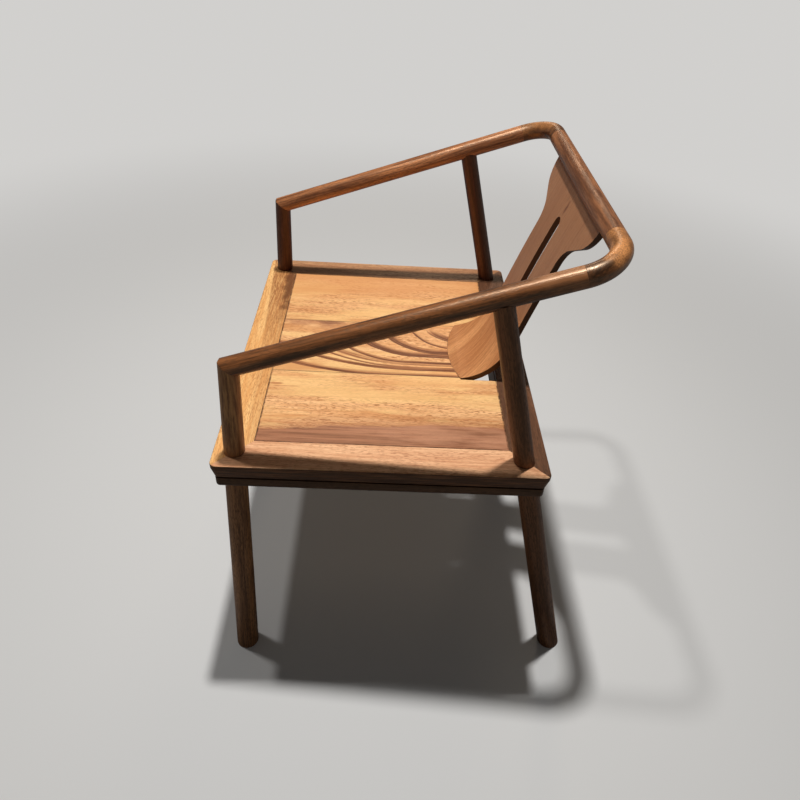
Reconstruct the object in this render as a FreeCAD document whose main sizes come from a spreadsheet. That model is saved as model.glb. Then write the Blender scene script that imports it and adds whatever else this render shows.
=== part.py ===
import FreeCAD, Part
import os
import Sketcher

# A horseshoe back armchair in solid wood. Each post is one straight turned member, leg below the seat and
# arm post above it, and passes through the mitred corner of the seat frame. The arms, two bends and the top
# rail make one sloping horseshoe, and a bent splat runs from the seat to the top rail.
# The floor is Z = 0, the chair faces -Y, and +X is the sitter's left. The origin is on the floor, midway
# between the front of the front feet and the back of the back feet.

# The driving dimensions, in millimetres or degrees, each with what it measures. Shares are parts of one.
SIZES = [
    ("seat_width", 604, "seat frame, side to side"),
    ("seat_depth", 480, "seat frame, front to back"),
    ("seat_height", 440, "floor to the top of the seat"),
    ("rail_width", 54, "seat rail, outer to inner edge"),
    ("rail_thickness", 25, "seat rail, top to bottom"),
    ("rail_nose", 8, "upright part of the rail's moulded edge, below the top"),
    ("rail_moulding", 4.5, "how far the edge slopes in below the nose"),
    ("rail_arris", 1.5, "rounding along the top outer edge"),
    ("corner_radius", 10, "rounding of the frame's corners in plan"),
    ("band_height", 20, "lower band under the frame, top to bottom"),
    ("band_corner_radius", 6, "rounding of the band's corners in plan"),
    ("band_round", 5, "rounding of the band's lower edge"),
    ("quirk_height", 3, "shadow groove between frame and band"),
    ("quirk_depth", 3, "how far that groove goes in"),
    ("board_thickness", 10, "seat boards"),
    ("board_gap", 0.3, "between one board and the next, and round the panel"),
    ("tongue_thickness", 5, "tongue round the panel, along its underside"),
    ("tongue_length", 7, "how far the tongue enters the frame"),
    ("centre_board_width", 154, "middle board of the seat"),
    ("notch_width", 164, "opening in the boards behind the splat's foot"),
    ("batten_width", 40, "battens under the boards"),
    ("batten_height", 20, "battens, top to bottom"),
    ("batten_tenon_length", 16, "how far a batten enters the side rails"),
    ("batten_tenon_height", 8, "thickness of that tenon"),
    ("batten_tenon_drop", 2, "from the top of the batten to its tenon"),
    ("front_batten_share", 0.32, "front batten's middle, as a share of the seat's depth"),
    ("key_size", 14, "square key across each mitre of the frame"),
    ("key_thickness", 5, "that key, top to bottom"),
    ("key_inset", 18, "from the corner to the key's middle, along the mitre"),
    ("key_depth", 8, "from the top of the seat to the top of the key"),
    ("foot_diameter", 37, "leg at the floor"),
    ("leg_diameter", 32.5, "leg at its shoulder under the frame"),
    ("post_diameter", 30, "post at the top of the seat"),
    ("post_side_inset", 33, "post's axis from the side of the seat, at its top"),
    ("front_post_inset", 30, "front post's axis from the front of the seat"),
    ("back_post_inset", 35.5, "back post's axis from the back of the seat"),
    ("arm_diameter", 28, "arms, bends and top rail"),
    ("front_splay_share", 0.0786, "a front post's lean to the side, as a share of its height"),
    ("arm_front_height", 580, "floor to the arm's axis at the front mitre"),
    ("arm_front_setback", 35, "that mitre, behind the front of the seat"),
    ("mitre_softening", 1.6, "how much of the mitre's outer point is rubbed off"),
    ("top_rail_height", 752, "floor to the top rail's axis"),
    ("top_rail_setback", 36, "top rail's axis, behind the back of the seat"),
    ("back_post_share", 0.705, "where the back post meets the arm, as a share of its length"),
    ("bend_radius", 52, "corner bends, on their axis"),
    ("bend_run", 20, "straight end of a bend that meets the top rail"),
    ("cope_wrap", 8, "how far a back post's coped top rises round the arm"),
    ("post_tenon_diameter", 16, "tenon at the top of a back post"),
    ("post_tenon_reach", 5, "how far it goes past the arm's axis"),
    ("dowel_diameter", 8, "dowels of the horseshoe"),
    ("mitre_dowel_length", 24, "dowel across the front mitre"),
    ("bend_dowel_length", 36, "dowels at the ends of the bends"),
    ("splat_thickness", 9, "back splat"),
    ("splat_foot_width", 160, "splat at the seat"),
    ("splat_waist_width", 151, "splat at its narrowest, under the ears"),
    ("splat_waist_height", 655, "floor to the start of the ears"),
    ("ear_hollow_radius", 35, "hollow under an ear"),
    ("ear_edge_length", 30, "straight lower edge of an ear"),
    ("ear_edge_angle", 30, "slope of that edge"),
    ("ear_lobe_radius", 44, "round lobe of an ear"),
    ("ear_lobe_angle", 55, "how far the lobe turns"),
    ("splat_foot_setback", 131, "front of the splat's foot, from the back of the seat"),
    ("splat_foot_bow", 17, "how far the middle of the foot is in front of its corners"),
    ("splat_foot_flat", 3, "flat of the foot before the sweep begins"),
    ("splat_pad_length", 22, "flat underside of the foot, on the rear batten"),
    ("splat_sweep_radius", 85, "front face where the splat sweeps up"),
    ("splat_bow_radius", 2700, "front face above the sweep"),
    ("splat_sink", 3, "how far the coped top wraps round the top rail"),
    ("slot_width", 23, "slot in the splat"),
    ("slot_bottom_height", 515, "floor to the bottom of the slot"),
    ("slot_top_height", 694, "floor to the top of the slot"),
    ("splat_tenon_width", 200, "tenon along the top of the splat"),
    ("splat_tenon_thickness", 5, "that tenon, front to back"),
    ("splat_tenon_length", 8, "how far it goes above the coped top"),
    ("screw_diameter", 4, "shank of the screws"),
    ("screw_head_diameter", 8, "countersunk head"),
    ("screw_head_height", 2.5, "countersunk head, top to bottom"),
    ("band_screw_length", 32, "screws up through the lower band"),
    ("band_screw_share", 0.3, "their place, as a share of the seat either side of its middle"),
    ("splat_screw_length", 26, "screws up through the rear batten"),
    ("splat_screw_spacing", 50, "between the screws of the splat"),
    ("fit_clearance", 0.1, "round what is inside a joint"),
    ("end_clearance", 1, "past the end of a dowel or tenon"),
    ("overrun", 20, "how far a cut runs past what it cuts"),
]

# Places worked out from the sizes. A lean is a shift outwards or backwards per unit of height, going down.
PLACES = [
    ("arm_radius", "sizes.arm_diameter / 2"),
    ("frame_bottom", "sizes.seat_height - sizes.rail_thickness"),
    ("shoulder_height", "frame_bottom - sizes.band_height"),
    ("arm_run", "sizes.seat_depth + sizes.top_rail_setback - sizes.arm_front_setback"),
    ("arm_rise", "sizes.top_rail_height - sizes.arm_front_height"),
    ("arm_length", "sqrt(arm_run^2 + arm_rise^2)"),
    ("arm_slope", "atan2(arm_rise; arm_run)"),
    ("arm_forward", "arm_run / arm_length"),
    ("arm_upward", "arm_rise / arm_length"),
    ("front_top", "sizes.arm_front_height"),
    ("back_top", "sizes.arm_front_height + arm_rise * sizes.back_post_share"),
    ("front_depth", "sizes.front_post_inset - sizes.seat_depth / 2"),
    ("back_depth", "sizes.seat_depth / 2 - sizes.back_post_inset"),
    ("front_top_depth", "sizes.arm_front_setback - sizes.seat_depth / 2"),
    ("back_top_depth", "front_top_depth + arm_run * sizes.back_post_share"),
    ("post_x", "sizes.seat_width / 2 - sizes.post_side_inset"),
    ("arm_x", "post_x - sizes.front_splay_share * (front_top - sizes.seat_height)"),
    ("front_side_lean", "(post_x - arm_x) / (front_top - sizes.seat_height)"),
    ("back_side_lean", "(post_x - arm_x) / (back_top - sizes.seat_height)"),
    ("front_lean", "(front_depth - front_top_depth) / (front_top - sizes.seat_height)"),
    ("back_lean", "(back_depth - back_top_depth) / (back_top - sizes.seat_height)"),
    ("front_stretch", "sqrt(1 + front_side_lean^2 + front_lean^2)"),
    ("back_stretch", "sqrt(1 + back_side_lean^2 + back_lean^2)"),
    ("front_reach", "front_depth + front_lean * sizes.seat_height"
                    " - sizes.foot_diameter / 2 * sqrt(1 + front_lean^2)"),
    ("back_reach", "back_depth + back_lean * sizes.seat_height"
                   " + sizes.foot_diameter / 2 * sqrt(1 + back_lean^2)"),
    ("seat_y", "-(front_reach + back_reach) / 2"),
    ("front_y", "seat_y + front_depth"),
    ("back_y", "seat_y + back_depth"),
    ("arm_front_y", "seat_y + front_top_depth"),
    ("arm_joint_y", "seat_y + back_top_depth"),
    ("top_rail_y", "arm_front_y + arm_run"),
    ("across_x", "-front_side_lean / front_stretch"),
    ("across_y", "arm_forward - front_lean / front_stretch"),
    ("across_z", "arm_upward + 1 / front_stretch"),
    ("across_length", "sqrt(across_x^2 + across_y^2 + across_z^2)"),
    ("tip_x", "-front_side_lean / front_stretch"),
    ("tip_y", "-arm_forward - front_lean / front_stretch"),
    ("tip_z", "1 / front_stretch - arm_upward"),
    ("tip_length", "sqrt(tip_x^2 + tip_y^2 + tip_z^2)"),
    ("tip_share", "(2 * arm_radius / across_length - sizes.mitre_softening) / tip_length"),
    ("bend_start", "arm_length - sizes.bend_radius"),
    ("bend_x", "arm_x - sizes.bend_radius"),
    ("bend_y", "arm_front_y + bend_start * arm_forward"),
    ("bend_z", "sizes.arm_front_height + bend_start * arm_upward"),
    ("top_rail_end", "bend_x - sizes.bend_run"),
    ("opening_width", "sizes.seat_width - 2 * sizes.rail_width"),
    ("opening_depth", "sizes.seat_depth - 2 * sizes.rail_width"),
    ("band_width", "sizes.seat_width - 2 * sizes.rail_moulding"),
    ("band_depth", "sizes.seat_depth - 2 * sizes.rail_moulding"),
    ("panel_width", "opening_width - 2 * sizes.board_gap"),
    ("panel_depth", "opening_depth - 2 * sizes.board_gap"),
    ("board_bottom", "sizes.seat_height - sizes.board_thickness"),
    ("batten_bottom", "board_bottom - sizes.batten_height"),
    ("batten_tenon_bottom", "board_bottom - sizes.batten_tenon_drop - sizes.batten_tenon_height"),
    ("front_batten_y", "seat_y + sizes.seat_depth * (sizes.front_batten_share - 0.5)"),
    ("foot_y", "seat_y + sizes.seat_depth / 2 - sizes.splat_foot_setback"),
    ("back_batten_y", "foot_y + sizes.splat_pad_length - sizes.batten_width / 2"),
    ("foot_bow_radius", "((sizes.splat_foot_width / 2)^2 + sizes.splat_foot_bow^2)"
                        " / (2 * sizes.splat_foot_bow)"),
    ("key_bottom", "sizes.seat_height - sizes.key_depth - sizes.key_thickness"),
]

# The splat's places, from the front edge of its foot and the top of the seat. Seen from the side, its front
# face sweeps up round one centre and then bows very slightly back round another, far behind it.
SPLAT_PLACES = [
    ("back", "places.top_rail_y - places.foot_y"),
    ("top", "sizes.top_rail_height - places.arm_radius + sizes.splat_sink - sizes.seat_height"),
    ("bow_radius", "sizes.splat_bow_radius"),
    ("back_bow_radius", "bow_radius - sizes.splat_thickness"),
    ("sweep_radius", "sizes.splat_sweep_radius"),
    ("back_sweep_radius", "sweep_radius + sizes.splat_thickness"),
    ("centres_apart", "sweep_radius + bow_radius"),
    ("top_distance", "sqrt((back - sizes.splat_foot_flat)^2 + (top - sweep_radius)^2)"),
    ("top_along", "(top_distance^2 + centres_apart^2 - (bow_radius - sizes.splat_thickness / 2)^2)"
                  " / (2 * centres_apart)"),
    ("turn", "90 deg + atan2(top - sweep_radius; back - sizes.splat_foot_flat)"
             " - acos(top_along / top_distance)"),
    ("bow_centre_y", "sizes.splat_foot_flat + centres_apart * sin(turn)"),
    ("bow_centre_z", "sweep_radius - centres_apart * cos(turn)"),
    ("end_turn", "atan2(top - bow_centre_z; bow_centre_y - back)"),
    ("join_front_y", "sizes.splat_foot_flat + sweep_radius * sin(turn)"),
    ("join_front_z", "sweep_radius * (1 - cos(turn))"),
    ("join_back_y", "join_front_y + sizes.splat_thickness * sin(turn)"),
    ("join_back_z", "join_front_z - sizes.splat_thickness * cos(turn)"),
    ("top_front_y", "bow_centre_y - bow_radius * cos(end_turn)"),
    ("top_front_z", "bow_centre_z + bow_radius * sin(end_turn)"),
    ("top_back_y", "bow_centre_y - back_bow_radius * cos(end_turn)"),
    ("top_back_z", "bow_centre_z + back_bow_radius * sin(end_turn)"),
    ("pad_back_z", "sweep_radius - sqrt(back_sweep_radius^2"
                   " - (sizes.splat_pad_length - sizes.splat_foot_flat)^2)"),
    ("foot_x", "sizes.splat_foot_width / 2"),
    ("waist_x", "sizes.splat_waist_width / 2"),
    ("waist_z", "sizes.splat_waist_height - sizes.seat_height"),
    ("hollow_end_x", "waist_x + sizes.ear_hollow_radius * (1 - sin(sizes.ear_edge_angle))"),
    ("hollow_end_z", "waist_z + sizes.ear_hollow_radius * cos(sizes.ear_edge_angle)"),
    ("lobe_start_x", "hollow_end_x + sizes.ear_edge_length * cos(sizes.ear_edge_angle)"),
    ("lobe_start_z", "hollow_end_z + sizes.ear_edge_length * sin(sizes.ear_edge_angle)"),
    ("lobe_end_angle", "sizes.ear_edge_angle + sizes.ear_lobe_angle"),
    ("lobe_end_x", "lobe_start_x"
                   " + sizes.ear_lobe_radius * (sin(lobe_end_angle) - sin(sizes.ear_edge_angle))"),
    ("lobe_end_z", "lobe_start_z"
                   " + sizes.ear_lobe_radius * (cos(sizes.ear_edge_angle) - cos(lobe_end_angle))"),
    ("slot_bottom_z", "sizes.slot_bottom_height + sizes.slot_width / 2"),
    ("slot_top_z", "sizes.slot_top_height - sizes.slot_width / 2"),
    ("tenon_bottom", "sizes.top_rail_height - places.arm_radius - sizes.splat_tenon_thickness / 2"),
    ("tenon_top", "sizes.top_rail_height - places.arm_radius + sizes.splat_sink + sizes.splat_tenon_length"),
]

STRAIGHT = "rotation(vector(0; 0; 1); 0)"
UPSIDE_DOWN = "rotation(vector(1; 0; 0); 180)"
ALONG_X = "rotation(vector(0; 1; 0); 90)"
ALONG_Y = "rotation(vector(1; 0; 0); -90)"
DIAGONAL = "rotation(vector(0; 0; 1); 45)"
ON_THE_SEAT = "placement(vector(0; places.foot_y; sizes.seat_height); " + STRAIGHT + ")"

FRONT_MITRE = ("places.arm_x", "places.arm_front_y", "sizes.arm_front_height")
ARM_JOINT = ("places.arm_x", "places.bend_y", "places.bend_z")
RAIL_JOINT = ("places.top_rail_end", "places.top_rail_y", "sizes.top_rail_height")


def fill_sheet(doc):
    """Write the driving dimensions into the spreadsheet, each beside what it measures."""
    sheet = doc.addObject("Spreadsheet::Sheet", "sizes")
    for row, (name, number, meaning) in enumerate(SIZES, start=1):
        sheet.set(f"A{row}", meaning)
        sheet.set(f"B{row}", str(number))
        sheet.setAlias(f"B{row}", name)
    doc.recompute()


def work_out(doc, name, formulas):
    """Keep places that follow from the sizes as named formulas."""
    holder = doc.addObject("App::VarSet", name)
    for place_name, formula in formulas:
        holder.addProperty("App::PropertyFloat", place_name, "Places")
        holder.setExpression(place_name, formula)
    doc.recompute()


def bind(thing, formulas):
    """Tie properties of a thing to formulas of the sizes and places."""
    for name, formula in formulas.items():
        thing.setExpression(name, formula)


def place(thing, at, turn=STRAIGHT):
    x, y, z = at
    thing.setExpression("Placement", f"placement(vector({x}; {y}; {z}); {turn})")


def towards(x, y, z):
    """The turn that takes upright to a direction."""
    length = f"sqrt(({x})^2 + ({y})^2 + ({z})^2)"
    return f"rotation(vector(-({y}); {x}; 0); acos(({z}) / {length}))"


ALONG_ARM = towards("0", "places.arm_forward", "places.arm_upward")
ACROSS_MITRE = towards("places.across_x", "places.across_y", "places.across_z")
MITRE_POINT = towards("places.tip_x", "places.tip_y", "places.tip_z")


def along_post(post):
    return towards(f"-places.{post}_side_lean", f"-places.{post}_lean", "1")


def block(doc, name, wide, deep, tall, at):
    """A box centred on a point in plan, standing on the point's height."""
    x, y, z = at
    box = doc.addObject("Part::Box", name)
    bind(box, {"Length": wide, "Width": deep, "Height": tall})
    place(box, (f"{x} - ({wide}) / 2", f"{y} - ({deep}) / 2", z))
    return box


def rod(doc, name, radius, length, at, turn):
    """A cylinder that runs from a point in the direction of a turn."""
    piece = doc.addObject("Part::Cylinder", name)
    bind(piece, {"Radius": radius, "Height": length})
    place(piece, at, turn)
    return piece


def taper(doc, name, radius, end_radius, length, at, turn):
    piece = doc.addObject("Part::Cone", name)
    bind(piece, {"Radius1": radius, "Radius2": end_radius, "Height": length})
    place(piece, at, turn)
    return piece


def fuse(doc, name, pieces):
    whole = doc.addObject("Part::MultiFuse", name)
    whole.Shapes = pieces
    return whole


def cut(doc, name, base, tools):
    """Take tools away from a base."""
    result = doc.addObject("Part::Cut", name)
    result.Base = base
    result.Tool = tools[0] if len(tools) == 1 else fuse(doc, name + "_cuts", tools)
    return result


def common(doc, name, pieces):
    """What several solids have in common."""
    result = doc.addObject("Part::MultiCommon", name)
    result.Shapes = pieces
    return result


def group(doc, name, pieces):
    """Pieces of one kind, kept as separate solids."""
    result = doc.addObject("Part::Compound", name)
    result.Links = pieces
    return result


def mirrored(doc, name, source):
    """The same piece for the sitter's right."""
    result = doc.addObject("Part::Mirroring", name)
    result.Source = source
    result.Normal = FreeCAD.Vector(1, 0, 0)
    return result


def pair(doc, name, source):
    """A hidden piece and its twin at the sitter's right, in one group."""
    return group(doc, name, [source, mirrored(doc, name + "_twin", source)])


def number(thing, formula):
    """What a formula comes to now."""
    result = thing.evalExpression(formula)
    return getattr(result, "Value", result)


def arc_through(start, end, radius, side):
    """An arc between two points. Side is 1 where it bulges to the right on the way, or -1 to the left."""
    chord = end - start
    outward = FreeCAD.Vector(chord.y, -chord.x, 0).normalize() * side
    rise = radius - (radius ** 2 - (chord.Length / 2) ** 2) ** 0.5
    first, last = (start, end) if side > 0 else (end, start)
    return Part.ArcOfCircle(first, (start + end) / 2 + outward * rise, last)


def outline(body, name, role, points, arcs=None):
    """A closed sketch through named points, tied to their formulas. Edges are straight, but for arcs given
    by the number of the point where they start, with a radius and the side that they bulge to."""
    arcs = arcs or {}
    sketch = body.newObject("Sketcher::SketchObject", name)
    plane = [feature for feature in body.Origin.OriginFeatures if feature.Role == role][0]
    sketch.AttachmentSupport = [(plane, "")]
    sketch.MapMode = "FlatFace"
    spots = [FreeCAD.Vector(number(sketch, across), number(sketch, up), 0) for across, up in points]
    for index, start in enumerate(spots):
        end = spots[(index + 1) % len(spots)]
        if index in arcs:
            radius, side = arcs[index]
            sketch.addGeometry(arc_through(start, end, number(sketch, radius), side), False)
        else:
            sketch.addGeometry(Part.LineSegment(start, end), False)

    def nearer_end(edge, spot):
        curve = sketch.Geometry[edge]
        to_start = curve.StartPoint.distanceToPoint(spot)
        return 1 if to_start < curve.EndPoint.distanceToPoint(spot) else 2

    def tie(constraint, label, formula):
        sketch.renameConstraint(sketch.addConstraint(constraint), label)
        sketch.setExpression("Constraints." + label, formula)

    for index, (across, up) in enumerate(points):
        spot = spots[index]
        before = (index - 1) % len(points)
        corner = (index, nearer_end(index, spot))
        sketch.addConstraint(Sketcher.Constraint("Coincident", before, nearer_end(before, spot), *corner))
        tie(Sketcher.Constraint("DistanceX", -1, 1, *corner, spot.x), f"across_{index}", across)
        tie(Sketcher.Constraint("DistanceY", -1, 1, *corner, spot.y), f"up_{index}", up)
    for index, (radius, side) in arcs.items():
        tie(Sketcher.Constraint("Radius", index, number(sketch, radius)), f"radius_{index}", radius)
    return sketch


def rectangle(body, name, wide, deep):
    """A rectangle about the body's origin, in plan."""
    corners = [("-1", "-1"), ("1", "-1"), ("1", "1"), ("-1", "1")]
    points = [(f"{across} * {wide} / 2", f"{up} * {deep} / 2") for across, up in corners]
    return outline(body, name, "XY_Plane", points)


def pad(body, name, sketch, length, symmetric=False):
    feature = body.newObject("PartDesign::Pad", name)
    feature.Profile = sketch
    feature.setExpression("Length", length)
    if symmetric:
        feature.SideType = "Symmetric"
    return feature


def open_up(body, name, sketch):
    """Cut a sketch on the ground plane upwards through the body."""
    feature = body.newObject("PartDesign::Pocket", name)
    feature.Profile = sketch
    feature.Type = "ThroughAll"
    feature.Reversed = True
    return feature


def edges_where(feature, wanted):
    return [f"Edge{index}" for index, edge in enumerate(feature.Shape.Edges, start=1) if wanted(edge)]


def upright(edge):
    ends = [vertex.Point for vertex in edge.Vertexes]
    return abs(ends[0].z - ends[-1].z) > abs(ends[0].x - ends[-1].x) + abs(ends[0].y - ends[-1].y)


def at_level(height):
    """A test for edges that lie at one height."""
    return lambda edge: all(abs(vertex.Z - height) < Part.Precision.confusion() for vertex in edge.Vertexes)


def rounded(doc, body, name, base, wanted, radius):
    """Round those edges of a feature that pass a test."""
    doc.recompute()
    feature = body.newObject("PartDesign::Fillet", name)
    feature.Base = (base, edges_where(base, wanted))
    feature.setExpression("Radius", radius)
    return feature


def seat_frame_blank(doc):
    """The four seat rails as one ring, with a rounded top edge and a lower edge that slopes in."""
    body = doc.addObject("PartDesign::Body", "frame_blank")
    place(body, ("0", "places.seat_y", "places.frame_bottom"))
    outside = rectangle(body, "frame_outside", "sizes.seat_width", "sizes.seat_depth")
    slab = pad(body, "frame_slab", outside, "sizes.rail_thickness")
    corners = rounded(doc, body, "frame_corners", slab, upright, "sizes.corner_radius")
    doc.recompute()
    moulding = body.newObject("PartDesign::Chamfer", "frame_moulding")
    moulding.Base = (corners, edges_where(corners, at_level(0)))
    moulding.ChamferType = "Two distances"
    bind(moulding, {"Size": "sizes.rail_thickness - sizes.rail_nose", "Size2": "sizes.rail_moulding"})
    top = at_level(number(body, "sizes.rail_thickness"))
    rounded(doc, body, "frame_arris", moulding, top, "sizes.rail_arris")
    inside = rectangle(body, "frame_inside", "places.opening_width", "places.opening_depth")
    open_up(body, "frame_opening", inside)
    return body


def band_blank(doc):
    """The lower band as one ring, flush inside with the frame, with a shadow groove along its top."""
    body = doc.addObject("PartDesign::Body", "band_blank")
    place(body, ("0", "places.seat_y", "places.shoulder_height"))
    outside = rectangle(body, "band_outside", "places.band_width", "places.band_depth")
    slab = pad(body, "band_slab", outside, "sizes.band_height - sizes.quirk_height")
    corners = rounded(doc, body, "band_corners", slab, upright, "sizes.band_corner_radius")
    rounded(doc, body, "band_lower_edge", corners, at_level(0), "sizes.band_round")
    neck_outline = rectangle(body, "quirk_outline", "(places.band_width - 2 * sizes.quirk_depth)",
                             "(places.band_depth - 2 * sizes.quirk_depth)")
    neck = pad(body, "band_neck", neck_outline, "sizes.band_height")
    level = number(body, "sizes.band_height - sizes.quirk_height")
    rounded(doc, body, "neck_corners", neck,
            lambda edge: upright(edge) and edge.CenterOfMass.z > level, "sizes.band_corner_radius")
    inside = rectangle(body, "band_inside", "places.opening_width", "places.opening_depth")
    open_up(body, "band_opening", inside)
    return body


def mitred_rails(doc, ring, prefix, bottom, height):
    """Part a ring into four rails along the diagonals of its corners."""
    for turn, side in enumerate(("front", "left", "back", "right")):
        length, breadth = ("seat_width", "seat_depth")
        if side in ("left", "right"):
            length, breadth = (breadth, length)
        wedge = doc.addObject("Part::Wedge", f"{prefix}_{side}_wedge")
        bind(wedge, {
            "Xmin": f"-sizes.{length} / 2",
            "Xmax": f"sizes.{length} / 2",
            "X2min": f"sizes.rail_width - sizes.{length} / 2",
            "X2max": f"sizes.{length} / 2 - sizes.rail_width",
            "Ymin": f"-sizes.{breadth} / 2",
            "Ymax": f"sizes.rail_width - sizes.{breadth} / 2",
            "Zmin": "0",
            "Z2min": "0",
            "Zmax": height,
            "Z2max": height,
        })
        place(wedge, ("0", "places.seat_y", bottom), f"rotation(vector(0; 0; 1); {turn} * 90)")
        common(doc, f"{prefix}_{side}_rail", [ring, wedge])


def on_post(post, height):
    """The point on a left post's axis at a height."""
    drop = f"(sizes.seat_height - ({height}))"
    return (f"places.post_x + places.{post}_side_lean * {drop}",
            f"places.{post}_y + places.{post}_lean * {drop}", height)


def post_stretch(doc, name, post, low, high, profile, extra="0"):
    """A tapered stretch of a left post between two heights. Its profile is two heights with the diameter at
    each, and extra is added to its radius."""
    low_level, low_diameter, high_level, high_diameter = profile
    slope = f"(({high_diameter} - {low_diameter}) / 2 / ({high_level} - {low_level}))"
    radius = f"{low_diameter} / 2 + {slope} * ({low} - {low_level}) + {extra}"
    end_radius = f"{low_diameter} / 2 + {slope} * ({high} - {low_level}) + {extra}"
    length = f"({high} - ({low})) * places.{post}_stretch"
    return taper(doc, name, radius, end_radius, length, on_post(post, low), along_post(post))


def leg(doc, post):
    """The leg of a left post, cut level at the floor and at its shoulder."""
    profile = ("0", "sizes.foot_diameter", "places.shoulder_height", "sizes.leg_diameter")
    blank = post_stretch(doc, f"{post}_leg_blank", post, "-sizes.overrun",
                         "(places.shoulder_height + sizes.overrun)", profile)
    slab = block(doc, f"{post}_leg_slab", "2 * sizes.seat_width", "2 * sizes.seat_width",
                 "places.shoulder_height", ("0", "0", "0"))
    return common(doc, f"{post}_leg", [blank, slab])


def upper_stretch(doc, name, post, high, extra="0"):
    """A left post from just below its shoulder upwards."""
    profile = ("sizes.seat_height", "sizes.post_diameter", f"places.{post}_top", "sizes.arm_diameter")
    return post_stretch(doc, name, post, "(places.shoulder_height - sizes.overrun)", high, profile, extra)


def post_holes(doc):
    """The room that the four posts take in the seat frame and the band."""
    holes = []
    for post in ("front", "back"):
        hole = upper_stretch(doc, f"{post}_hole", post, "(sizes.seat_height + sizes.overrun)",
                             "sizes.fit_clearance")
        holes += [hole, mirrored(doc, f"{post}_hole_twin", hole)]
    return holes


def dowel(doc, name, middle, direction, turn, length):
    """A dowel about its middle, and the hole it needs."""
    def peg(peg_name, diameter, peg_length):
        start = [f"{along} - ({peg_length}) / 2 * ({step})" for along, step in zip(middle, direction)]
        return rod(doc, peg_name, f"({diameter}) / 2", peg_length, start, turn)

    pin = peg(name, "sizes.dowel_diameter", length)
    hole = peg(name + "_hole", "sizes.dowel_diameter + 2 * sizes.fit_clearance",
               f"{length} + 2 * sizes.end_clearance")
    return pin, hole


def mitre_trimmings(doc, name, turn):
    """What a front post or an arm loses at their mitre: all that lies past it, and the sharp point."""
    tip = [f"{along} + places.tip_share * places.tip_{axis}" for along, axis in zip(FRONT_MITRE, "xyz")]
    return [
        rod(doc, name + "_past_mitre", "sizes.arm_diameter", "2 * sizes.arm_diameter", FRONT_MITRE, turn),
        rod(doc, name + "_point", "sizes.arm_diameter", "sizes.arm_diameter", tip, MITRE_POINT),
    ]


def front_posts(doc, dowel_hole):
    """Front posts, mitred to the arms and rubbed soft at the point."""
    upper = upper_stretch(doc, "front_upper", "front", "(sizes.arm_front_height + sizes.arm_diameter)")
    whole = fuse(doc, "front_post_blank", [leg(doc, "front"), upper])
    post = cut(doc, "front_left_post", whole,
               mitre_trimmings(doc, "front_post", ACROSS_MITRE) + [dowel_hole])
    mirrored(doc, "front_right_post", post)


def back_posts(doc):
    """Back posts, coped to the underside of the arms, with a tenon that goes up into them."""
    coped_top = "(places.back_top - places.arm_radius + sizes.cope_wrap)"
    upper = upper_stretch(doc, "back_upper", "back", coped_top)
    coped = cut(doc, "back_upper_coped", upper, [arm_blank(doc, "arm_room", "sizes.fit_clearance")])
    tenon = back_post_tenon(doc, "back_post_tenon")
    post = fuse(doc, "back_left_post", [leg(doc, "back"), coped, tenon])
    mirrored(doc, "back_right_post", post)


def back_post_tenon(doc, name, side="0", end="0"):
    return rod(doc, name, f"sizes.post_tenon_diameter / 2 + {side}",
               f"sizes.overrun * places.back_stretch + sizes.post_tenon_reach + {end}",
               on_post("back", "(places.back_top - sizes.overrun)"), along_post("back"))


def arm_blank(doc, name, extra="0"):
    """The straight left arm, from in front of its mitre to its joint with the bend."""
    start = ("places.arm_x", "places.arm_front_y - sizes.arm_diameter * places.arm_forward",
             "sizes.arm_front_height - sizes.arm_diameter * places.arm_upward")
    return rod(doc, name, f"places.arm_radius + {extra}", "places.bend_start + sizes.arm_diameter",
               start, ALONG_ARM)


def arms(doc, holes):
    mortise = back_post_tenon(doc, "arm_mortise", "sizes.fit_clearance", "sizes.end_clearance")
    trimmings = mitre_trimmings(doc, "arm", ACROSS_MITRE + " * " + UPSIDE_DOWN)
    arm = cut(doc, "left_arm", arm_blank(doc, "left_arm_blank"), trimmings + [mortise] + holes)
    mirrored(doc, "right_arm", arm)


def bends(doc, holes):
    """Corner bends: a quarter of a ring in the plane of the arms, and a short run to the top rail."""
    curve = doc.addObject("Part::Torus", "bend_curve")
    bind(curve, {"Radius1": "sizes.bend_radius", "Radius2": "places.arm_radius", "Angle3": "90"})
    place(curve, ("places.bend_x", "places.bend_y", "places.bend_z"),
          "rotation(vector(1; 0; 0); places.arm_slope)")
    run = rod(doc, "bend_run", "places.arm_radius", "sizes.bend_run", RAIL_JOINT, ALONG_X)
    whole = fuse(doc, "bend_blank", [curve, run])
    bend = cut(doc, "left_bend", whole, holes)
    mirrored(doc, "right_bend", bend)


def top_rail_rod(doc, name, extra="0"):
    return rod(doc, name, f"places.arm_radius + {extra}", "2 * places.top_rail_end",
               ("-places.top_rail_end", "places.top_rail_y", "sizes.top_rail_height"), ALONG_X)


def top_rail(doc, dowel_holes):
    """The straight top rail, with the long mortise of the splat in its underside."""
    blank = top_rail_rod(doc, "top_rail_blank")
    mortise = splat_tenon(doc, "splat_mortise", "2 * sizes.fit_clearance", "sizes.end_clearance")
    cut(doc, "top_rail", blank, [mortise] + dowel_holes)


def splat_tenon(doc, name, wider="0", taller="0"):
    return block(doc, name, f"sizes.splat_tenon_width + {wider}", f"sizes.splat_tenon_thickness + {wider}",
                 f"splat.tenon_top - splat.tenon_bottom + {taller}",
                 ("0", "places.top_rail_y", "splat.tenon_bottom"))


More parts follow.
